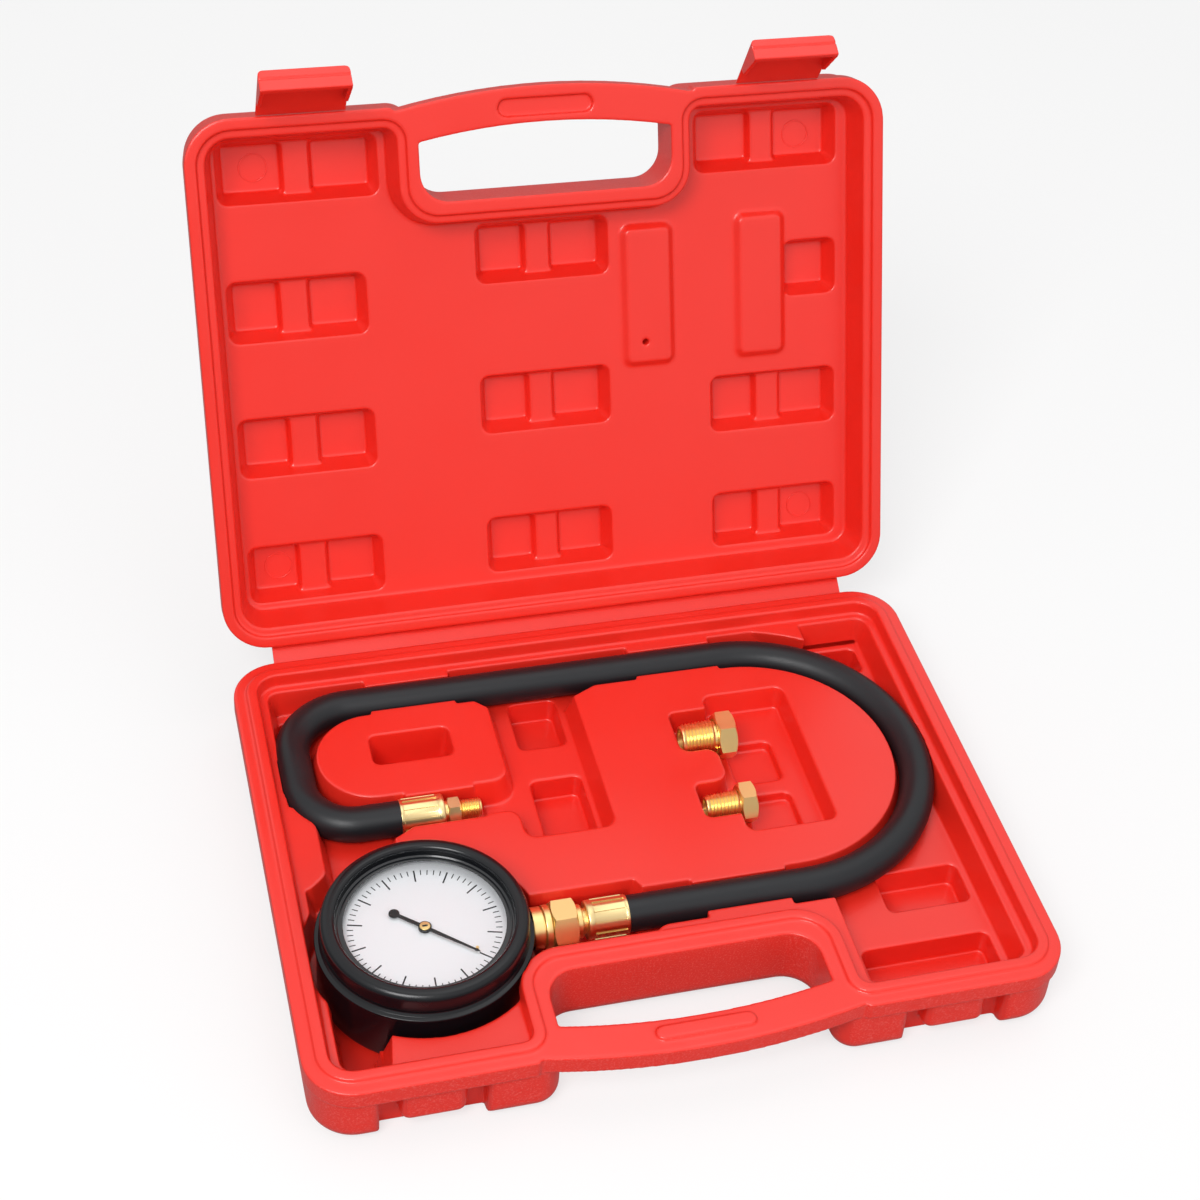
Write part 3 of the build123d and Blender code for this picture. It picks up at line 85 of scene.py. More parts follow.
class Tree:
    """Short way to place and link nodes in one tree."""

    def __init__(self, tree: bpy.types.NodeTree) -> None:
        """Keeps the tree.

        Args:
            tree: node tree that the nodes go in.
        """
        self.tree = tree

    def add(self, kind: str, inputs: dict | None = None, **settings: object) -> bpy.types.Node:
        """Adds a node, sets it up and links what feeds it.

        Args:
            kind: Blender's name for the kind of node.
            inputs: values or output sockets by input name or number.
            settings: the node's own options.

        Returns:
            The new node.
        """
        node = self.tree.nodes.new(kind)
        for key, value in settings.items():
            setattr(node, key, value)
        for key, value in (inputs or {}).items():
            if isinstance(value, bpy.types.NodeSocket):
                self.tree.links.new(value, node.inputs[key])
            else:
                node.inputs[key].default_value = value
        return node

    def math(self, operation: str, first: object, second: object = 0.0) -> bpy.types.NodeSocket:
        """Adds a Math node.

        Args:
            operation: its operation.
            first: first value or socket.
            second: second value or socket.

        Returns:
            Its output.
        """
        return self.add("ShaderNodeMath", {0: first, 1: second}, operation=operation).outputs[0]


def new_group(
    name: str, kind: str, inputs: dict, outputs: dict
) -> tuple[Tree, bpy.types.Node, bpy.types.Node]:
    """Makes a node group with named sockets.

    Args:
        name: the group's name.
        kind: ShaderNodeTree or GeometryNodeTree.
        inputs: socket type and default value by name; a default of None is left alone.
        outputs: socket type by name.

    Returns:
        The tree, its input node and its output node.
    """
    group = bpy.data.node_groups.new(name, kind)
    for label, (socket, default) in inputs.items():
        made = group.interface.new_socket(label, in_out="INPUT", socket_type=socket)
        if default is not None:
            made.default_value = default
    for label, socket in outputs.items():
        group.interface.new_socket(label, in_out="OUTPUT", socket_type=socket)
    tree = Tree(group)
    return tree, tree.add("NodeGroupInput"), tree.add("NodeGroupOutput")


@cache
def grain_group() -> bpy.types.NodeTree:
    """Builds the moulded grain that plastics, rubbers and castings share.

    Returns:
        A shader group with a height and a slow mottle.
    """
    tree, given, out = new_group(
        "moulded_grain", "ShaderNodeTree",
        {
            "Vector": ("NodeSocketVector", None),
            "Scale": ("NodeSocketFloat", 900.0),
            "Slow Scale": ("NodeSocketFloat", 40.0),
        },
        {"Height": "NodeSocketFloat", "Mottle": "NodeSocketFloat"},
    )
    place = given.outputs["Vector"]
    fine = tree.add(
        "ShaderNodeTexNoise",
        {"Vector": place, "Scale": given.outputs["Scale"], "Detail": 2.0, "Roughness": 0.6},
    )
    slow = tree.add(
        "ShaderNodeTexNoise", {"Vector": place, "Scale": given.outputs["Slow Scale"], "Detail": 3.0}
    )
    tree.tree.links.new(fine.outputs[0], out.inputs["Height"])
    tree.tree.links.new(slow.outputs[0], out.inputs["Mottle"])
    return tree.tree


# Finishes


@dataclass(frozen=True)
class Finish:
    """Surface finish with a fine grain.

    Attributes:
        name: the material's name.
        color: base colour, linear.
        roughness: middle roughness.
        metallic: 1 for bare metal.
        coat: clear coat weight.
        specular: strength of the plain reflection.
        grain: height of the grain, in metres.
        scale: fineness of the grain.
        spread: how far the roughness wanders.
        alpha: below 1 for the clear lens.
    """

    name: str
    color: tuple[float, float, float]
    roughness: float
    metallic: float = 0.0
    coat: float = 0.0
    specular: float = 0.5
    grain: float = 0.0
    scale: float = 900.0
    spread: float = 0.06
    alpha: float = 1.0

    def shader(self) -> tuple[bpy.types.Material, Tree, bpy.types.Node]:
        """Makes the material with its own values set.

        Returns:
            The material, its tree and its Principled shader.
        """
        material = bpy.data.materials.new(self.name)
        material.use_nodes = True
        tree = Tree(material.node_tree)
        shader = material.node_tree.nodes["Principled BSDF"]
        values = {
            "Base Color": (*self.color, 1.0), "Roughness": self.roughness, "Metallic": self.metallic,
            "Coat Weight": self.coat, "Coat Roughness": COAT_ROUGHNESS,
            "Specular IOR Level": self.specular, "Alpha": self.alpha,
        }
        for socket, value in values.items():
            shader.inputs[socket].default_value = value
        return material, tree, shader

    def grained(self, tree: Tree) -> bpy.types.Node:
        """Places the shared grain on object coordinates.

        Args:
            tree: the material's tree.

        Returns:
            The group node.
        """
        place = tree.add("ShaderNodeTexCoord")
        group = tree.add("ShaderNodeGroup", node_tree=grain_group())
        tree.tree.links.new(place.outputs["Object"], group.inputs["Vector"])
        group.inputs["Scale"].default_value = self.scale
        return group

    @cache
    def material(self) -> bpy.types.Material:
        """Makes the finish's material, once.

        Returns:
            The material.
        """
        material, tree, shader = self.shader()
        if self.grain:
            self.dress(tree, shader, self.grained(tree))
        return material

    def dress(self, tree: Tree, shader: bpy.types.Node, grain: bpy.types.Node) -> None:
        """Lets the grain shape the roughness and the surface.

        Args:
            tree: the material's tree.
            shader: its Principled shader.
            grain: the shared grain's node.
        """
        rough = tree.add(
            "ShaderNodeMapRange",
            {
                "Value": grain.outputs["Mottle"], "From Min": 0.3, "From Max": 0.7,
                "To Min": self.roughness - self.spread, "To Max": self.roughness + self.spread,
            },
        )
        tree.tree.links.new(rough.outputs[0], shader.inputs["Roughness"])
        bump = tree.add("ShaderNodeBump", {"Height": grain.outputs["Height"], "Distance": self.grain})
        tree.tree.links.new(bump.outputs[0], shader.inputs["Normal"])


@dataclass(frozen=True)
class CaseFinish(Finish):
    """Blow-moulded plastic, with a coarser skin where the mesh says so.

    Attributes:
        skin_scale: fineness of the pebbled skin.
        skin_height: how much higher it is than the grain.
        pebble_top_highlight: paler colour painted on the raised tops of the pebbles, a painted highlight.
    """

    skin_scale: float = 1600.0
    skin_height: float = 4.2
    pebble_top_highlight: tuple[float, float, float] = (0.83, 0.078, 0.062)

    def dress(self, tree: Tree, shader: bpy.types.Node, grain: bpy.types.Node) -> None:
        """Adds the pebbled skin of the outer walls to the grain, with a painted highlight of paler colour on
        the pebbles' raised tops.

        Args:
            tree: the material's tree.
            shader: its Principled shader.
            grain: the shared grain's node.
        """
        super().dress(tree, shader, grain)
        skin = tree.add("ShaderNodeAttribute", attribute_name="skin").outputs["Fac"]
        place = tree.add("ShaderNodeTexCoord")
        pebble = tree.add(
            "ShaderNodeTexNoise",
            {"Vector": place.outputs["Object"], "Scale": self.skin_scale, "Detail": 1.0},
        )
        masked = tree.math("MULTIPLY", pebble.outputs[0], skin)
        raised = tree.math("MULTIPLY", masked, self.skin_height)
        height = tree.math("ADD", raised, grain.outputs["Height"])
        bump = shader.inputs["Normal"].links[0].from_node
        tree.tree.links.new(height, bump.inputs["Height"])
        # Painted highlight: the higher the pebble, the paler the colour.
        pebble_top_highlight = tree.add(
            "ShaderNodeMapRange",
            {"Value": masked, "From Min": 0.52, "From Max": 0.72},
        )
        color = tree.add("ShaderNodeMix", data_type="RGBA")
        tree.tree.links.new(pebble_top_highlight.outputs[0], color.inputs["Factor"])
        color.inputs[6].default_value = (*self.color, 1.0)
        color.inputs[7].default_value = (*self.pebble_top_highlight, 1.0)
        tree.tree.links.new(color.outputs[2], shader.inputs["Base Color"])


@dataclass(frozen=True)
class FrameFinish:
    """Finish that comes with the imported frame, in the colour that the record gives.

    Attributes:
        name: the material's name there.
    """

    name: str

    def material(self) -> bpy.types.Material:
        """Returns the frame's own material."""
        return bpy.data.materials[self.name]


RED = CaseFinish("red_case_plastic", (0.78, 0.021, 0.011), 0.35, coat=0.30, grain=0.00003, scale=1400.0)
BOOT = Finish("boot_rubber_black", (0.004, 0.0045, 0.006), 0.22, specular=0.36, grain=0.00001, scale=1600.0)
HOSE = Finish("hose_rubber_black", (0.008, 0.009, 0.011), 0.42, specular=0.36, grain=0.00003, scale=1300.0)
BRASS = Finish("machined_brass", (0.92, 0.66, 0.28), 0.33, metallic=1.0, grain=0.000004, scale=1800.0)
BRIGHT_BRASS = Finish("bright_brass", (0.80, 0.61, 0.30), 0.30, metallic=1.0, grain=0.000002, scale=1800.0)
BRONZE = FrameFinish("spring_bronze")
STEEL = Finish("plated_steel", (0.55, 0.56, 0.58), 0.3, metallic=1.0, grain=0.000003)
BEZEL = Finish("bezel_gloss_black", (0.008, 0.009, 0.011), 0.18, coat=0.4, grain=0.000002)
DIAL = FrameFinish("dial_white")
INK = Finish("dial_ink", (0.012, 0.012, 0.014), 0.5)
NEEDLE = FrameFinish("pointer_black")
LENS = Finish("clear_lens", (0.03, 0.032, 0.035), 0.03, alpha=0.05)


# Meshes


def rounded(points: Sequence[tuple[float, float]], radii: Sequence[float], arcs: int = 6) -> list[tuple]:
    """Rounds the corners of a closed profile.

    Args:
        points: corners in order.
        radii: radius at each corner, 0 to keep it sharp.
        arcs: steps in each rounding.

    Returns:
        Points along the rounded profile.
    """
    line: list[tuple] = []
    count = len(points)
    for index, radius in enumerate(radii):
        corner = Vector(points[index])
        before = Vector(points[index - 1]) - corner
        after = Vector(points[(index + 1) % count]) - corner
        if radius <= 0:
            line.append(tuple(corner))
            continue
        half = before.angle(after) / 2
        reach = min(radius / math.tan(half), before.length * 0.499, after.length * 0.499)
        start = corner + before.normalized() * reach
        end = corner + after.normalized() * reach
        middle = corner + (before.normalized() + after.normalized()).normalized() * (reach / math.cos(half))
        spin = (start - middle).angle_signed(end - middle)
        for step in range(arcs + 1):
            turned = (start - middle).copy()
            turned.rotate(Matrix.Rotation(-spin * step / arcs, 2))
            line.append(tuple(middle + turned))
    return line


def ring_mesh(name: str, rings: Sequence[Sequence[Vector]], joined: bool) -> bpy.types.Mesh:
    """Makes a mesh from rings of points of one length.

    Args:
        name: the mesh's name.
        rings: rings in order.
        joined: whether the last ring joins the first; otherwise both ends are closed flat.

    Returns:
        The mesh, in metres.
    """
    made = bmesh.new()
    placed = [[made.verts.new(point * MM) for point in ring] for ring in rings]
    around = len(placed[0])
    spans = len(placed) if joined else len(placed) - 1
    for index in range(spans):
        low, high = placed[index], placed[(index + 1) % len(placed)]
        for side in range(around):
            turn = (side + 1) % around
            made.faces.new((low[side], low[turn], high[turn], high[side]))
    if not joined:
        made.faces.new(placed[0][::-1])
        made.faces.new(placed[-1])
    bmesh.ops.remove_doubles(made, verts=made.verts, dist=1e-7)
    bmesh.ops.recalc_face_normals(made, faces=made.faces)
    mesh = bpy.data.meshes.new(name)
    made.to_mesh(mesh)
    made.free()
    return mesh


def turned(
    name: str, profile: Sequence[tuple], centre: tuple[float, float], turning: Turning,
    shape: Callable[[float, float, float], float] | None = None, sides: int = 96,
) -> bpy.types.Mesh:
    """Turns a closed profile about an axis.

    Args:
        name: the mesh's name.
        profile: (place along the axis, radius) pairs in millimetres.
        centre: the axis's other two coordinates.
        turning: direction of the axis.
        shape: gives the radius for a place, a radius and an angle, or None for a round piece.
        sides: steps round the axis.

    Returns:
        The mesh.
    """
    rings = []
    for along, radius in profile:
        ring = []
        for side in range(sides):
            angle = 2 * math.pi * side / sides
            reach = shape(along, radius, angle) if shape else radius
            across, over = reach * math.cos(angle), reach * math.sin(angle)
            if turning is Turning.ALONG:
                ring.append(Vector((along, centre[0] + across, centre[1] + over)))
            else:
                ring.append(Vector((centre[0] + across, centre[1] + over, along)))
        rings.append(ring)
    return ring_mesh(name, rings, joined=True)


def soften(mesh: bpy.types.Mesh, angle: float) -> None:
    """Shades a mesh smooth except over sharper edges.

    Args:
        mesh: mesh to shade.
        angle: edges sharper than this many degrees stay crisp.
    """
    mesh.shade_smooth()
    mesh.set_sharp_from_angle(angle=math.radians(angle))


def bake(obj: bpy.types.Object) -> bpy.types.Object:
    """Turns an object's modifiers into a plain mesh.

    Args:
        obj: object with modifiers.

    Returns:
        The same object, without them.
    """
    bpy.context.view_layer.update()
    graph = bpy.context.evaluated_depsgraph_get()
    result = obj.evaluated_get(graph)
    mesh = bpy.data.meshes.new_from_object(result, preserve_all_data_layers=True, depsgraph=graph)
    obj.modifiers.clear()
    obj.data = mesh
    return obj


def placed(name: str, mesh: bpy.types.Mesh) -> bpy.types.Object:
    """Links a new object for a mesh.

    Args:
        name: the object's name.
        mesh: its mesh.

    Returns:
        The object.
    """
    obj = bpy.data.objects.new(name, mesh)
    bpy.context.scene.collection.objects.link(obj)
    return obj


def hand_over(
    obj: bpy.types.Object, finish: Finish | FrameFinish, body: Body, nodes: Sequence[str] = ()
) -> None:
    """Gives a piece its finish and body, and hides the nodes it stands for.

    Args:
        obj: the piece.
        finish: its finish.
        body: CAD body it rides on.
        nodes: CAD nodes that it replaces.
    """
    obj.data.materials.clear()
    obj.data.materials.append(finish.material())
    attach(obj, body.value)
    if nodes:
        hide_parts(*nodes)
    log.info("piece %s: %d faces on %s", obj.name, len(obj.data.polygons), body.value)


# Geometry Nodes


@cache
def radial_tree() -> bpy.types.NodeTree:
    """Builds the tree that sets bars round a circle.

    Returns:
        A geometry tree with named sizes.
    """
    tree, given, out = new_group(
        "bars_round_a_circle", "GeometryNodeTree",
        {
            "Count": ("NodeSocketInt", 14),
            "Skip": ("NodeSocketInt", 0),
            "Radius": ("NodeSocketFloat", 0.02),
            "Start": ("NodeSocketFloat", 0.0),
            "Size": ("NodeSocketVector", None),
            "Material": ("NodeSocketMaterial", None),
        },
        {"Geometry": "NodeSocketGeometry"},
    )
    count = given.outputs["Count"]
    index = tree.add("GeometryNodeInputIndex").outputs[0]
    step = tree.math("DIVIDE", 2 * math.pi, count)
    angle = tree.math("ADD", tree.math("MULTIPLY", index, step), given.outputs["Start"])
    across = tree.math("MULTIPLY", tree.math("COSINE", angle), given.outputs["Radius"])
    over = tree.math("MULTIPLY", tree.math("SINE", angle), given.outputs["Radius"])
    spot = tree.add("ShaderNodeCombineXYZ", {"X": across, "Y": over})
    points = tree.add("GeometryNodePoints", {"Count": count, "Position": spot.outputs[0]})
    left = tree.math("MODULO", index, tree.math("MAXIMUM", given.outputs["Skip"], 1.0))
    skipping = tree.math("GREATER_THAN", given.outputs["Skip"], 0.5)
    kept = tree.math("MAXIMUM", tree.math("GREATER_THAN", left, 0.5), tree.math("SUBTRACT", 1.0, skipping))
    bar = tree.add("GeometryNodeMeshCube", {"Size": given.outputs["Size"]})
    turn = tree.add("ShaderNodeCombineXYZ", {"Z": angle})
    bars = tree.add(
        "GeometryNodeInstanceOnPoints",
        {
            "Points": points.outputs[0], "Instance": bar.outputs["Mesh"],
            "Rotation": turn.outputs[0], "Selection": kept,
        },
    )
    real = tree.add("GeometryNodeRealizeInstances", {"Geometry": bars.outputs[0]})
    dressed = tree.add(
        "GeometryNodeSetMaterial", {"Geometry": real.outputs[0], "Material": given.outputs["Material"]}
    )
    tree.tree.links.new(dressed.outputs[0], out.inputs["Geometry"])
    return tree.tree


@cache
def thread_tree() -> bpy.types.NodeTree:
    """Builds the tree that winds a thread's ridge.

    Returns:
        A geometry tree with named sizes.
    """
    tree, given, out = new_group(
        "thread_ridge", "GeometryNodeTree",
        {
            "Turns": ("NodeSocketFloat", 8.0),
            "Start Radius": ("NodeSocketFloat", 0.006),
            "End Radius": ("NodeSocketFloat", 0.006),
            "Length": ("NodeSocketFloat", 0.012),
            "Ridge": ("NodeSocketFloat", 0.0006),
            "Material": ("NodeSocketMaterial", None),
        },
        {"Geometry": "NodeSocketGeometry"},
    )
    spiral = tree.add(
        "GeometryNodeCurveSpiral",
        {
            "Resolution": 48, "Rotations": given.outputs["Turns"], "Height": given.outputs["Length"],
            "Start Radius": given.outputs["Start Radius"], "End Radius": given.outputs["End Radius"],
        },
    )
    upright = tree.add("GeometryNodeSetCurveNormal", {"Curve": spiral.outputs[0]}, mode="Z_UP")
    ridge = tree.add("GeometryNodeCurvePrimitiveCircle", {"Resolution": 4, "Radius": given.outputs["Ridge"]})
    swept = tree.add(
        "GeometryNodeCurveToMesh",
        {"Curve": upright.outputs[0], "Profile Curve": ridge.outputs["Curve"], "Fill Caps": True},
    )
    real = tree.add("GeometryNodeRealizeInstances", {"Geometry": swept.outputs[0]})
    dressed = tree.add(
        "GeometryNodeSetMaterial", {"Geometry": real.outputs[0], "Material": given.outputs["Material"]}
    )
    tree.tree.links.new(dressed.outputs[0], out.inputs["Geometry"])
    return tree.tree


def grown(name: str, tree: bpy.types.NodeTree, values: dict, matrix: Matrix) -> bpy.types.Object:
    """Makes a plain mesh from a geometry tree.

    Args:
        name: the piece's name.
        tree: geometry tree.
        values: its inputs by name.
        matrix: where the result goes.

    Returns:
        The baked object, with its place in its vertices.
    """
    obj = placed(name, bpy.data.meshes.new(name))
    modifier = obj.modifiers.new("grow", "NODES")
    modifier.node_group = tree
    for item in tree.interface.items_tree:
        if item.item_type == "SOCKET" and item.in_out == "INPUT" and item.name in values:
            modifier[item.identifier] = values[item.name]
    bake(obj)
    obj.data.transform(matrix)
    return obj


def along_x(x: float, y: float, z: float) -> Matrix:
    """Turns +Z onto +X and moves it to a place in millimetres."""
    return Matrix.Translation(Vector((x, y, z)) * MM) @ Matrix.Rotation(math.radians(90), 4, "Y")


# Sub-assemblies


@dataclass
class Moulding:
    """Plastic moulding whose edges are softened from its CAD solid.

    Attributes:
        node: CAD node that it stands for.
        body: CAD body it rides on.
        voxel: grid of the softening, in millimetres.
        passes: smoothing passes.
        limit: triangles kept.
        tilt: turn about X that lays the piece flat on the grid, its rim up.
        middle: its middle in Y there, in millimetres, or None for a piece without the skin.
        band: how far in from the outside the skin goes.
        hole: half width and reach of the part round the finger hole that has it too.
    """

    node: str
    body: Body
    voxel: float
    passes: int
    limit: int
    tilt: float = 0.0
    middle: float | None = None
    band: float = 2.4
    hole: tuple[float, float] = (50.5, 38.5)

    def skin(self, mesh: bpy.types.Mesh) -> None:
        """Marks the outer walls and the finger hole's walls, which have the pebbled skin.

        Args:
            mesh: mesh in the flat frame of its half.
        """
        layer = mesh.attributes.new("skin", "FLOAT", "POINT")
        for vertex in mesh.vertices:
            upright = min(1.0, max(0.0, (0.85 - abs(vertex.normal.z)) / 0.3))
            layer.data[vertex.index].value = upright if self.outside(vertex.co) else 0.0

    def outside(self, spot: Vector) -> bool:
        """Tells whether a place is on the outer walls or in the finger hole.

        Args:
            spot: place in the flat frame of its half, in metres.

        Returns:
            True for the outside.
        """
        across = abs(spot.x) / MM
        along = (spot.y / MM - self.middle) * (1.0 if self.tilt else -1.0)
        over = (across - CASE_HALF[0] + CORNER_R, abs(along) - CASE_HALF[1] + CORNER_R)
        inside = CORNER_R - math.hypot(max(over[0], 0.0), max(over[1], 0.0))
        beside_hole = across < self.hole[0] and along > CASE_HALF[1] - self.hole[1]
        return min(inside, CORNER_R - max(over)) < self.band or beside_hole

    def build(self) -> bpy.types.Object:
        """Builds the softened moulding.

        Returns:
            The piece.
        """
        mesh = frame["nodes"][self.node].data.copy()
        welded = bmesh.new()
        welded.from_mesh(mesh)
        bmesh.ops.remove_doubles(welded, verts=welded.verts, dist=2e-6)
        welded.to_mesh(mesh)
        welded.free()
        mesh.transform(Matrix.Rotation(self.tilt, 4, "X"))
        obj = placed(self.node + "_moulding", mesh)
        grid = self.voxel * 1.0
        remesh = obj.modifiers.new("grid", "REMESH")
        remesh.mode = "VOXEL"
        remesh.voxel_size = grid * MM
        remesh.use_smooth_shade = True
        smooth = obj.modifiers.new("soft", "SMOOTH")
        smooth.factor = 0.5
        smooth.iterations = self.passes
        bake(obj)
        dense = placed(self.node + "_dense", obj.data.copy())
        share = self.limit / (2 * len(obj.data.polygons))
        if share < 1:
            fewer = obj.modifiers.new("fewer", "DECIMATE")
            fewer.ratio = share
        bake(obj)
        if self.middle is not None:
            self.skin(obj.data)
        obj.data.shade_smooth()
        even = obj.modifiers.new("even", "DATA_TRANSFER")
        even.object = dense
        even.use_loop_data = True
        even.data_types_loops = {"CUSTOM_NORMAL"}
        even.loop_mapping = "POLYINTERP_NEAREST"
        bake(obj)
        bpy.data.objects.remove(dense)
        obj.data.transform(Matrix.Rotation(-self.tilt, 4, "X"))
        hand_over(obj, RED, self.body, (self.node,))
        return obj


@dataclass
class Gauge:
    """Dial gauge in its rubber boot, with the look of each part.

    Attributes:
        boot_r: radius of the boot's lower wall.
        top_r: radius of the rolled rim.
        lip_r: inner radius of the rolled rim.
        rib: how far the rib stands out.
        bezel_in: inner radius of the bezel.
        majors: long ticks round the dial.
        between: short ticks between two long ones, plus one.
        tick_out: outer end of the ticks from the centre.
        first: direction of the first tick, which is the pointer's.
    """

    boot_r: float = 37.5
    top_r: float = 36.25
    lip_r: float = 30.9
    rib: float = 0.7
    bezel_in: float = 28.25
    majors: int = 14
    between: int = 5
    tick_out: float = 26.9
    first: float = math.radians(-40.6)

    def boot(self) -> None:
        """Builds the rubber boot with its rolled rim and the rib round its side."""
        outer = [
            (-24.3, 0.0), (-24.3, self.boot_r), (-2.0, self.boot_r), (-1.7, self.boot_r + self.rib),
            (-0.5, self.boot_r + self.rib), (-0.1, self.top_r + 0.5), (0.9, self.top_r - 0.35),
            (2.2, self.top_r), (9.2, self.top_r), (9.2, self.lip_r), (5.85, self.lip_r),
            (5.85, 33.45), (-22.45, 33.45), (-22.45, 0.0),
        ]
        radii = [0, 3.0, 0.4, 0.45, 0.45, 0.3, 0.6, 1.2, 2.65, 2.55, 0.3, 0.1, 0.1, 0]
        line = [(BASE_H + z, r) for z, r in rounded(outer, radii, 10)]
        mesh = turned("gauge_boot_look", line, GAUGE, Turning.UP, sides=192)
        soften(mesh, 50)
        obj = placed("gauge_boot_look", mesh)
        hole = turned(
            "boot_hole", [(GAUGE[0], 0.0), (GAUGE[0], 6.6), (-40.0, 6.6), (-40.0, 0.0)],
            (GAUGE[1], STEM_Z), Turning.ALONG, sides=64,
        )
        tool = placed("boot_hole_tool", hole)
        cut = obj.modifiers.new("hole", "BOOLEAN")
        cut.operation = "DIFFERENCE"
        cut.object = tool
        bake(obj)
        bpy.data.objects.remove(tool)
        hand_over(obj, BOOT, Body.BASE, ("gauge_boot",))

    def bezel(self) -> None:
        """Builds the gloss black ring over the lens."""
        outer = [
            (-0.6, 32.65), (-0.6, 33.4), (5.8, 33.4), (5.8, 30.4), (5.35, 30.0), (5.5, 29.2),
            (5.5, self.bezel_in), (5.05, self.bezel_in), (5.05, 32.65),
        ]
        line = [(BASE_H + z, r) for z, r in rounded(outer, [0, 0, 0.3, 0.25, 0.2, 0.3, 0.2, 0.1, 0], 5)]
        mesh = turned("gauge_bezel_look", line, GAUGE, Turning.UP, sides=192)
        soften(mesh, 60)
        hand_over(placed("gauge_bezel_look", mesh), BEZEL, Body.BASE, ("gauge_bezel",))

    def dial(self) -> None:
        """Prints the ticks on the dial, long ones all round and short ones between."""
        top = Matrix.Translation(Vector((*GAUGE, BASE_H + DIAL_H + 0.03)) * MM)
        for name, count, skip, length, width in (
            ("dial_long_ticks", self.majors, 0, 5.2, 0.55),
            ("dial_short_ticks", self.majors * self.between, self.between, 2.2, 0.34),
        ):
            values = {
                "Count": count, "Skip": skip, "Start": self.first, "Material": INK.material(),
                "Radius": (self.tick_out - length / 2) * MM, "Size": (length * MM, width * MM, 0.06 * MM),
            }
            hand_over(grown(name, radial_tree(), values, top), INK, Body.BASE)

    def hub(self) -> None:
        """Builds the pointer's brass cap, with a thin black sheet on top painted as the screw slot's shade.
        """
        low = BASE_H + 3.15
        top = low + 0.35
        line = rounded([(low, 0.0), (low, 1.9), (top, 1.9), (top, 0.0)], [0, 0, 0.2, 0], 4)
        mesh = turned("pointer_cap", line, GAUGE, Turning.UP, sides=48)
        soften(mesh, 40)
        hand_over(placed("pointer_cap", mesh), BRASS, Body.POINTER, ("pointer_hub",))
        # Painted shade: the screw slot is not cut; a thin black sheet shaped like it lies on the cap where
        # the groove's shade would be.
        floor, lid = low + 0.345, low + 0.37
        slot = turned(
            "pointer_cap_painted_slot_shade", [(floor, 0.0), (floor, 0.95), (lid, 0.95), (lid, 0.0)],
            GAUGE, Turning.UP, lambda z, r, a: r * 0.42 / max(abs(math.sin(a)), 0.42), sides=32,
        )
        hand_over(placed("pointer_cap_painted_slot_shade", slot), NEEDLE, Body.POINTER)

    def build(self) -> None:
        """Builds every part of the gauge that shows."""
        self.boot()
        self.bezel()
        self.dial()
        self.hub()


@dataclass(frozen=True)
class LidMark:
    """Round mark that a moulding pin leaves in the lid's pockets.

    Attributes:
        across: place across the lid.
        height: place up the lid.
        depth: depth of the floor it is on.
        radius: its radius.
        half: half its line's width.
    """

    across: float
    height: float
    depth: float = 24.0
    radius: float = 5.2
    half: float = 0.3

    def build(self, name: str) -> None:
        """Builds the mark as a thin raised ring.

        Args:
            name: the piece's name.
        """
        inner, outer = self.radius - self.half, self.radius + self.half
        line = rounded([(-0.1, inner), (-0.1, outer), (0.35, outer), (0.35, inner)], [0, 0, 0.14, 0.14], 3)
        mesh = turned(name, line, (0.0, 0.0), Turning.UP, sides=64)
        flat = Matrix.Translation(Vector((self.across, self.height, -self.depth)) * MM)
        lean = Matrix.Rotation(math.pi / 2 - LEAN, 4, "X")
        edge = Matrix.Translation(Vector((0.0, *LID_EDGE)) * MM)
        mesh.transform(edge @ lean @ flat)
        soften(mesh, 50)
        hand_over(placed(name, mesh), RED, Body.LID)


@dataclass(frozen=True)
class Hexagon:
    """Hexagon with the curved chamfers that turning leaves.

    Attributes:
        across: distance across its flats.
        start: one end along the axis.
        end: the other end.
        turn: angle of its first flat's middle.
    """

    across: float
    start: float
    end: float
    turn: float = math.pi / 6

    def radius(self, along: float, radius: float, angle: float) -> float:
        """Gives the reach of the hexagon where the profile asks for its outside.

        Args:
            along: place along the axis.
            radius: radius in the profile.
            angle: angle round the axis.

        Returns:
            The radius there.
        """
        if radius < self.across / 2 - 0.01:
            return radius
        flat = (angle - self.turn + math.pi / 6) % (math.pi / 3) - math.pi / 6
        edge = min(along - self.start, self.end - along)
        cone = self.across / 2 * 0.985 + edge * 1.7
        return min(self.across / 2 / math.cos(flat), cone)

    def stations(self) -> list[float]:
        """Returns places along the axis, close together near both ends."""
        near = [0.06 * step for step in range(15)]
        return [self.start + n for n in near] + [self.end - n for n in near[::-1]]


@dataclass(frozen=True)
class Sleeve:
    """Crimped sleeve of one end of the hose.

    Attributes:
        name: the piece's name.
        node: CAD node that it stands for.
        ends: both ends along X, first the closed one.
        outer: radius.
        axis: its axis.
    """

    name: str
    node: str
    ends: tuple[float, float]
    outer: float
    axis: tuple[float, float]


@dataclass(frozen=True)
class Adapter:
    """Loose adapter: tapered outside thread, hexagon and bore.

    Attributes:
        name: the piece's name.
        node: CAD node that it stands for.
        places: thread start, hexagon start and hexagon end along X.
        across: distance across its flats.
        thread_r: radius of the thread at the hexagon.
        bore: radius of its bore.
        y: its place.
        pitch: distance between thread turns.
    """

    name: str
    node: str
    places: tuple[float, float, float]
    across: float
    thread_r: float
    bore: float
    y: float
    pitch: float = 1.34


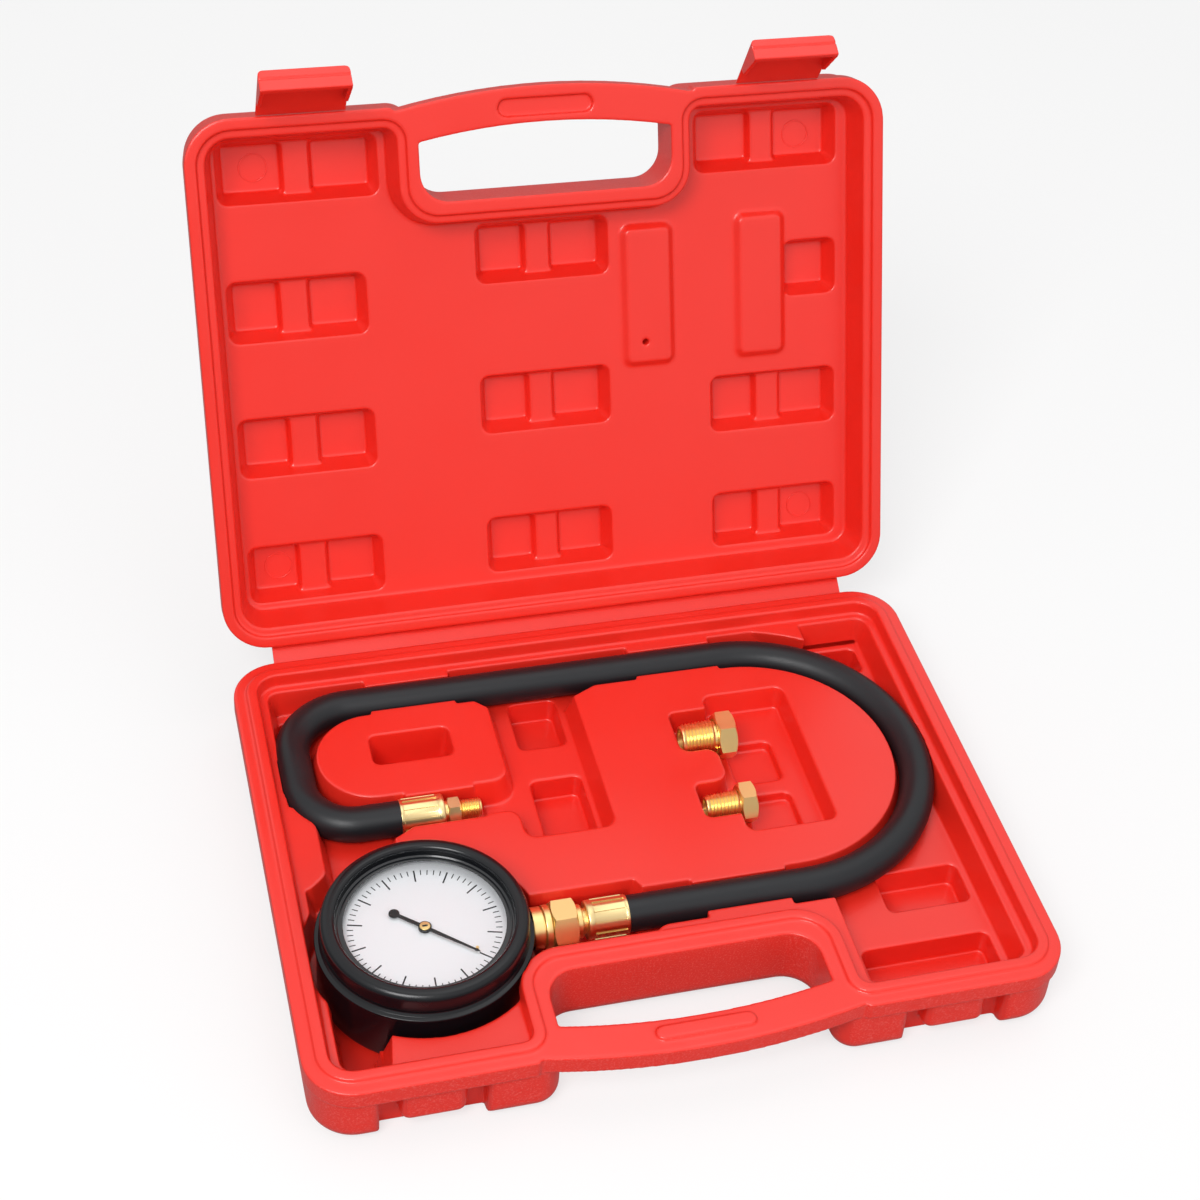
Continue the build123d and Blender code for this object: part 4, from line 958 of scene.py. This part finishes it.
@dataclass
class Fittings:
    """Brass fittings on the hose, and the two loose adapters.

    Attributes:
        axis: the gauge end's axis, across and up.
        far_axis: the far end's axis.
        facet: angle between the ridges of a crimped sleeve.
    """

    axis: tuple[float, float] = (GAUGE[1], STEM_Z)
    far_axis: tuple[float, float] = (20.0, STEM_Z)
    facet: float = math.pi / 5

    def hexed(
        self, name: str, hexagon: Hexagon, bore: float, axis: tuple[float, float]
    ) -> bpy.types.Object:
        """Builds a hexagon with a bore.

        Args:
            name: the piece's name.
            hexagon: its size.
            bore: radius of the bore.
            axis: its axis.

        Returns:
            The object.
        """
        out = hexagon.across / 2
        profile = [(x, out) for x in hexagon.stations()]
        profile += [(hexagon.end, bore), (hexagon.start, bore)]
        mesh = turned(name, profile, axis, Turning.ALONG, hexagon.radius, sides=240)
        soften(mesh, 22)
        return placed(name, mesh)

    def round_piece(
        self, name: str, corners: Sequence[tuple], radii: Sequence[float], axis: tuple[float, float]
    ) -> bpy.types.Object:
        """Builds a turned piece along X.

        Args:
            name: the piece's name.
            corners: corners of its section.
            radii: rounding of each.
            axis: its axis.

        Returns:
            The object.
        """
        mesh = turned(name, rounded(corners, radii, 5), axis, Turning.ALONG, sides=96)
        soften(mesh, 40)
        return placed(name, mesh)

    def stem(self) -> None:
        """Builds the seal ring and the hose end up to its sleeve."""
        ring = self.round_piece(
            "seal_ring_look", [(-43.0, 6.55), (-43.0, 7.75), (-40.25, 7.75), (-40.25, 6.55)],
            [0, 1.0, 1.0, 0], self.axis,
        )
        hand_over(ring, BRASS, Body.BASE, ("seal_ring",))
        nut = self.hexed("swivel_nut_look", Hexagon(16.0, -40.2, -31.2), 6.55, self.axis)
        hand_over(nut, BRASS, Body.BASE, ("swivel_nut",))
        end = self.round_piece(
            "gauge_end_collar",
            [
                (-33.2, 3.2), (-33.2, 6.4), (-31.1, 6.4), (-31.1, 6.1), (-28.9, 6.1), (-28.9, 4.6),
                (-27.55, 4.6), (-27.55, 3.2),
            ],
            [0, 0, 0, 0.6, 0.7, 0.1, 0, 0], self.axis,
        )
        hand_over(end, BRASS, Body.BASE, ("gauge_end_nipple",))

    def sleeve(self, sleeve: Sleeve) -> None:
        """Builds a hose sleeve with flats pressed along it and thin ridges between them.

        Args:
            sleeve: its sizes.
        """
        neck, mouth = sleeve.ends
        outer = sleeve.outer
        sign = math.copysign(1.0, mouth - neck)
        corners = [
            (neck, 3.25), (neck, outer - 0.05), (mouth, outer - 0.05), (mouth, 6.68),
            (neck + sign, 6.68), (neck + sign, 3.25),
        ]
        profile = rounded(corners, [0, 0.9, 0.35, 0, 0, 0], 5)
        rows = [neck + sign * s for s in (1.2, 2.3, 2.5, 2.9)] + [mouth - sign * s for s in (1.5, 1.2, 0.8)]
        after = next(
            place for place, (x, radius) in enumerate(profile)
            if abs(radius - (outer - 0.05)) < 1e-4 and abs(x - neck) > 0.5
        )
        profile[after + 1:after + 1] = [(x, outer - 0.05) for x in rows]

        def flats(along: float, radius: float, angle: float) -> float:
            """Gives the radius with the pressed flats.

            Args:
                along: place along the axis.
                radius: radius of the round sleeve.
                angle: angle round the axis.

            Returns:
                The radius there.
            """
            if radius < outer - 0.2:
                return radius
            from_neck = abs(along - neck)
            from_mouth = abs(along - mouth)
            depth = max(0.0, min(1.0, (from_neck - 2.3) / 0.5, (from_mouth - 0.8) / 0.5))
            flat = (angle - self.facet / 2) % self.facet - self.facet / 2
            pressed = radius * (0.55 + 0.45 * math.cos(self.facet / 2) / math.cos(flat)) - 0.12
            return radius + (pressed - radius) * depth

        mesh = turned(sleeve.name, profile, sleeve.axis, Turning.ALONG, flats, sides=128)
        soften(mesh, 35)
        hand_over(placed(sleeve.name, mesh), BRIGHT_BRASS, Body.BASE, (sleeve.node,))
        length = abs(mouth - neck) - 3.9
        values = {
            "Count": round(2 * math.pi / self.facet), "Skip": 0, "Radius": (outer - 0.13) * MM,
            "Start": self.facet / 2, "Size": (0.3 * MM, 0.42 * MM, length * MM),
            "Material": BRIGHT_BRASS.material(),
        }
        middle = (neck + sign * 2.7 + mouth - sign * 1.2) / 2
        ridges = grown(sleeve.name + "_ridges", radial_tree(), values, along_x(middle, *sleeve.axis))
        hand_over(ridges, BRIGHT_BRASS, Body.BASE)

    def thread(
        self, name: str, start: float, length: float, radii: tuple[float, float], pitch: float,
        axis: tuple[float, float],
    ) -> None:
        """Winds a thread on a fitting.

        Args:
            name: the piece's name.
            start: where it starts along X.
            length: how long it is.
            radii: radius of its middle at both ends.
            pitch: distance between turns.
            axis: its axis.
        """
        values = {
            "Turns": length / pitch, "Start Radius": radii[0] * MM, "End Radius": radii[1] * MM,
            "Length": length * MM, "Ridge": pitch * 0.5 * MM, "Material": BRASS.material(),
        }
        obj = grown(name, thread_tree(), values, along_x(start, *axis))
        soften(obj.data, 20)
        hand_over(obj, BRASS, Body.BASE)

    def far_end(self) -> None:
        """Builds the far end's small hexagon and its threaded nose."""
        nose = self.round_piece(
            "far_end_nose",
            [(-66.4, 1.5), (-66.4, 4.0), (-60.6, 4.0), (-60.6, 3.3), (-52.4, 3.3), (-52.4, 1.5)],
            [0, 0, 0, 0, 0.6, 0.2], self.far_axis,
        )
        hand_over(nose, BRASS, Body.BASE, ("far_end_nipple",))
        hexagon = self.hexed("far_end_hexagon", Hexagon(9.0, -65.2, -60.6), 3.9, self.far_axis)
        hand_over(hexagon, BRIGHT_BRASS, Body.BASE)
        self.thread("far_end_thread", -60.3, 7.2, (3.3, 3.3), 0.9, self.far_axis)

    def adapter(self, adapter: Adapter) -> None:
        """Builds a loose adapter.

        Args:
            adapter: its sizes.
        """
        start, hex_start, hex_end = adapter.places
        pitch, bore = adapter.pitch, adapter.bore
        axis = (adapter.y, 14.05 + adapter.across / 2)
        root = adapter.thread_r - pitch * 0.48
        inside = hex_start + 1.0
        core = self.round_piece(
            adapter.name,
            [(start, bore), (start, root - 0.45), (hex_start, root), (inside, root), (inside, bore)],
            [0.2, 0.4, 0, 0, 0], axis,
        )
        hand_over(core, BRASS, Body.BASE, (adapter.node,))
        hexagon = Hexagon(adapter.across, hex_start, hex_end)
        top = self.hexed(adapter.name + "_hexagon", hexagon, bore * 1.5, axis)
        hand_over(top, BRASS, Body.BASE)
        length = hex_start - start - 1.3
        radii = (root - 0.42, root - 0.02)
        self.thread(adapter.name + "_thread", start + 0.7, length, radii, pitch, axis)

    def build(self) -> None:
        """Builds every fitting that shows."""
        self.stem()
        self.sleeve(Sleeve("gauge_end_sleeve", "gauge_end_ferrule", (-27.6, -12.3), 7.2, self.axis))
        self.sleeve(Sleeve("far_end_sleeve", "far_end_ferrule", (-66.5, -83.0), 7.0, self.far_axis))
        self.far_end()
        for name, places, across, thread_r, bore, y in (
            ("large_adapter", (29.3, 43.0, 50.2), 16.5, 6.75, 4.4, 37.5),
            ("small_adapter", (29.5, 42.4, 48.5), 14.0, 5.4, 3.4, 2.7),
        ):
            self.adapter(Adapter(name + "_look", name, places, across, thread_r, bore, y))


@dataclass
class Hose:
    """Rubber hose laid in the tray.

    Attributes:
        radius: its radius.
        route: corners of its route.
        bends: radius at each corner.
    """

    radius: float = 6.65
    route: tuple[tuple[float, float], ...] = (
        (-26.55, -41.0), (116.8, -41.0), (116.8, 81.0), (-117.0, 81.0), (-117.0, 33.6), (-106.0, 20.0),
        (-67.55, 20.0),
    )
    bends: tuple[float, ...] = (60.85, 60.85, 30.0, 21.5, 20.0)

    def line(self) -> list[Vector]:
        """Rounds the bends of the route.

        Returns:
            Points along the middle line, close together.
        """
        corners = rounded(self.route, (0.0, *self.bends, 0.0), 28)
        points = [Vector(corners[0])]
        for point in corners[1:]:
            gap = Vector(point) - points[-1]
            steps = max(1, round(gap.length / 4.0))
            begin = points[-1].copy()
            points += [begin + gap * (step + 1) / steps for step in range(steps)]
        return points

    def build(self) -> None:
        """Builds the hose as one tube."""
        points = self.line()
        rings = []
        for index, point in enumerate(points):
            before = points[max(index - 1, 0)]
            after = points[min(index + 1, len(points) - 1)]
            ahead = (after - before).normalized()
            side = Vector((ahead.y, -ahead.x))
            ring = []
            for step in range(48):
                angle = 2 * math.pi * step / 48
                spot = point + side * (self.radius * math.cos(angle))
                ring.append(Vector((spot.x, spot.y, STEM_Z + self.radius * math.sin(angle))))
            rings.append(ring)
        mesh = ring_mesh("hose_tube", rings, joined=False)
        soften(mesh, 50)
        hand_over(placed("hose_tube", mesh), HOSE, Body.BASE, ("pressure_hose",))


@dataclass
class Studio:
    """Floor, lights and camera of the photograph.

    Attributes:
        place: the camera's place in millimetres.
        right: the camera's right in the row frame.
        down: its down.
        ahead: its view direction.
        focal: focal length as a share of the picture's width.
        centre: the optical centre as a share of the picture, from its top left.
    """

    place: tuple[float, float, float] = (-194.48, -576.83, 672.34)
    right: tuple[float, float, float] = (0.961306, -0.263974, 0.078797)
    down: tuple[float, float, float] = (-0.106567, -0.620096, -0.777254)
    ahead: tuple[float, float, float] = (0.254036, 0.738782, -0.624233)
    focal: float = 1.98068
    centre: tuple[float, float] = (0.56308, 0.40049)

    def camera(self) -> None:
        """Places the camera that the photograph was taken from."""
        data = bpy.data.cameras.new("camera")
        data.sensor_width = 36.0
        data.lens = 36.0 * self.focal
        data.shift_x = 0.5 - self.centre[0]
        data.shift_y = self.centre[1] - 0.5
        data.clip_start = 0.02
        obj = bpy.data.objects.new("camera", data)
        axes = Matrix((self.right, [-v for v in self.down], [-v for v in self.ahead])).transposed()
        obj.matrix_world = Matrix.Translation(Vector(self.place) * MM) @ axes.to_4x4()
        bpy.context.scene.collection.objects.link(obj)
        bpy.context.scene.camera = obj

    def lamp(self, name: str, spot: tuple, size: float, power: float, mirrored: bool = True) -> None:
        """Hangs a soft area lamp that points at the case.

        Args:
            name: the lamp's name.
            spot: where it hangs, in metres.
            size: its side.
            power: its power in watts.
            mirrored: whether shiny surfaces reflect it.
        """
        data = bpy.data.lights.new(name, "AREA")
        data.size = size
        data.energy = power
        obj = bpy.data.objects.new(name, data)
        obj.location = spot
        obj.visible_glossy = mirrored
        aim = Vector((0.0, 0.05, 0.05)) - Vector(spot)
        obj.rotation_euler = aim.to_track_quat("-Z", "Y").to_euler()
        bpy.context.scene.collection.objects.link(obj)

    def world(self) -> None:
        """Lights the scene softly: white for the camera and glass, paler overhead in reflections."""
        world = bpy.data.worlds.new("studio")
        bpy.context.scene.world = world
        world.use_nodes = True
        tree = Tree(world.node_tree)
        light = world.node_tree.nodes["Background"]
        light.inputs["Color"].default_value = WHITE
        light.inputs["Strength"].default_value = 0.57
        white = tree.add("ShaderNodeBackground", {"Color": WHITE, "Strength": 1.0})
        path = tree.add("ShaderNodeLightPath")
        seen = tree.math("MAXIMUM", path.outputs["Is Camera Ray"], path.outputs["Is Transmission Ray"])
        mixed = tree.add("ShaderNodeMixShader", {0: seen, 1: light.outputs[0], 2: white.outputs[0]})
        toward = tree.add("ShaderNodeTexCoord").outputs["Generated"]
        way = tree.add("ShaderNodeSeparateXYZ", {"Vector": toward})
        height = tree.add(
            "ShaderNodeMapRange",
            {"Value": way.outputs["Z"], "From Min": 0.0, "From Max": 0.55, "To Min": 0.28, "To Max": 1.0},
        )
        sky = tree.add("ShaderNodeBackground", {"Color": WHITE, "Strength": height.outputs[0]})
        both = tree.add(
            "ShaderNodeMixShader",
            {0: path.outputs["Is Glossy Ray"], 1: mixed.outputs[0], 2: sky.outputs[0]},
        )
        tree.tree.links.new(both.outputs[0], world.node_tree.nodes["World Output"].inputs["Surface"])

    def floor(self) -> None:
        """Lays the white floor, which keeps a soft shadow."""
        mesh = bpy.data.meshes.new("floor")
        reach = 6.0
        corners = [(-reach, -reach, 0), (reach, -reach, 0), (reach, reach, 0), (-reach, reach, 0)]
        mesh.from_pydata(corners, [], [(0, 1, 2, 3)])
        obj = placed("floor", mesh)
        obj.location.z = -0.0003
        material = bpy.data.materials.new("floor_white")
        material.use_nodes = True
        tree = Tree(material.node_tree)
        shader = material.node_tree.nodes["Principled BSDF"]
        shader.inputs["Base Color"].default_value = (0.28, 0.28, 0.28, 1.0)
        shader.inputs["Roughness"].default_value = 0.9
        shader.inputs["Specular IOR Level"].default_value = 0.0
        glow = tree.add("ShaderNodeEmission", {"Color": WHITE, "Strength": 0.66})
        path = tree.add("ShaderNodeLightPath")
        seen = tree.math("MAXIMUM", path.outputs["Is Camera Ray"], path.outputs["Is Transmission Ray"])
        none = tree.add("ShaderNodeEmission", {"Strength": 0.0})
        part = tree.add("ShaderNodeMixShader", {0: seen, 1: none.outputs[0], 2: glow.outputs[0]})
        both = tree.add("ShaderNodeAddShader", {0: shader.outputs[0], 1: part.outputs[0]})
        output = material.node_tree.nodes["Material Output"]
        tree.tree.links.new(both.outputs[0], output.inputs["Surface"])
        mesh.materials.append(material)

    def build(self) -> None:
        """Sets up the whole studio."""
        self.world()
        self.floor()
        self.lamp("key", (-0.7, -0.9, 1.4), 0.7, 19.5)
        self.lamp("top", (0.3, 0.35, 1.8), 1.2, 4.0)
        self.lamp("front", (0.9, -1.5, 0.5), 1.6, 11.5, mirrored=False)
        self.camera()
        bpy.context.scene.view_settings.view_transform = "Standard"


def dress_frame() -> None:
    """Gives the CAD nodes that stay their finishes."""
    finishes = {
        "case_plastic": RED, "boot_rubber": BOOT, "hose_rubber": HOSE, "gauge_steel": STEEL,
        "bezel_black": BEZEL, "lens_clear": LENS, "dial_white": DIAL, "pointer_black": NEEDLE,
        "brass": BRASS, "spring_bronze": BRONZE,
    }
    for part in frame["record"]["subparts"]:
        obj = frame["nodes"][part["node"]]
        for slot in obj.material_slots:
            slot.material = finishes[part["material_slot"]].material()


def main() -> None:
    """Builds the scene in order."""
    logging.basicConfig(level=logging.INFO, format="%(message)s")
    dress_frame()
    Moulding("case_base", Body.BASE, 0.38, 18, 195000, middle=0.0).build()
    tilt = LEAN - math.pi / 2
    middle = LID_EDGE[0] * math.cos(tilt) - LID_EDGE[1] * math.sin(tilt) + CASE_HALF[1]
    Moulding("case_lid", Body.LID, 0.38, 18, 195000, tilt=tilt, middle=middle).build()
    Moulding("left_latch", Body.LEFT_LATCH, 0.3, 2, 30000).build()
    Moulding("right_latch", Body.RIGHT_LATCH, 0.3, 2, 30000).build()
    for index, spot in enumerate(((-108.1, 184.0), (106.2, 181.9), (-110.2, 24.9), (107.2, 25.6))):
        LidMark(*spot).build(f"lid_mark_{index + 1}")
    Gauge().build()
    Fittings().build()
    Hose().build()
    Studio().build()
    bpy.context.view_layer.update()


if __name__ == "__main__":
    main()
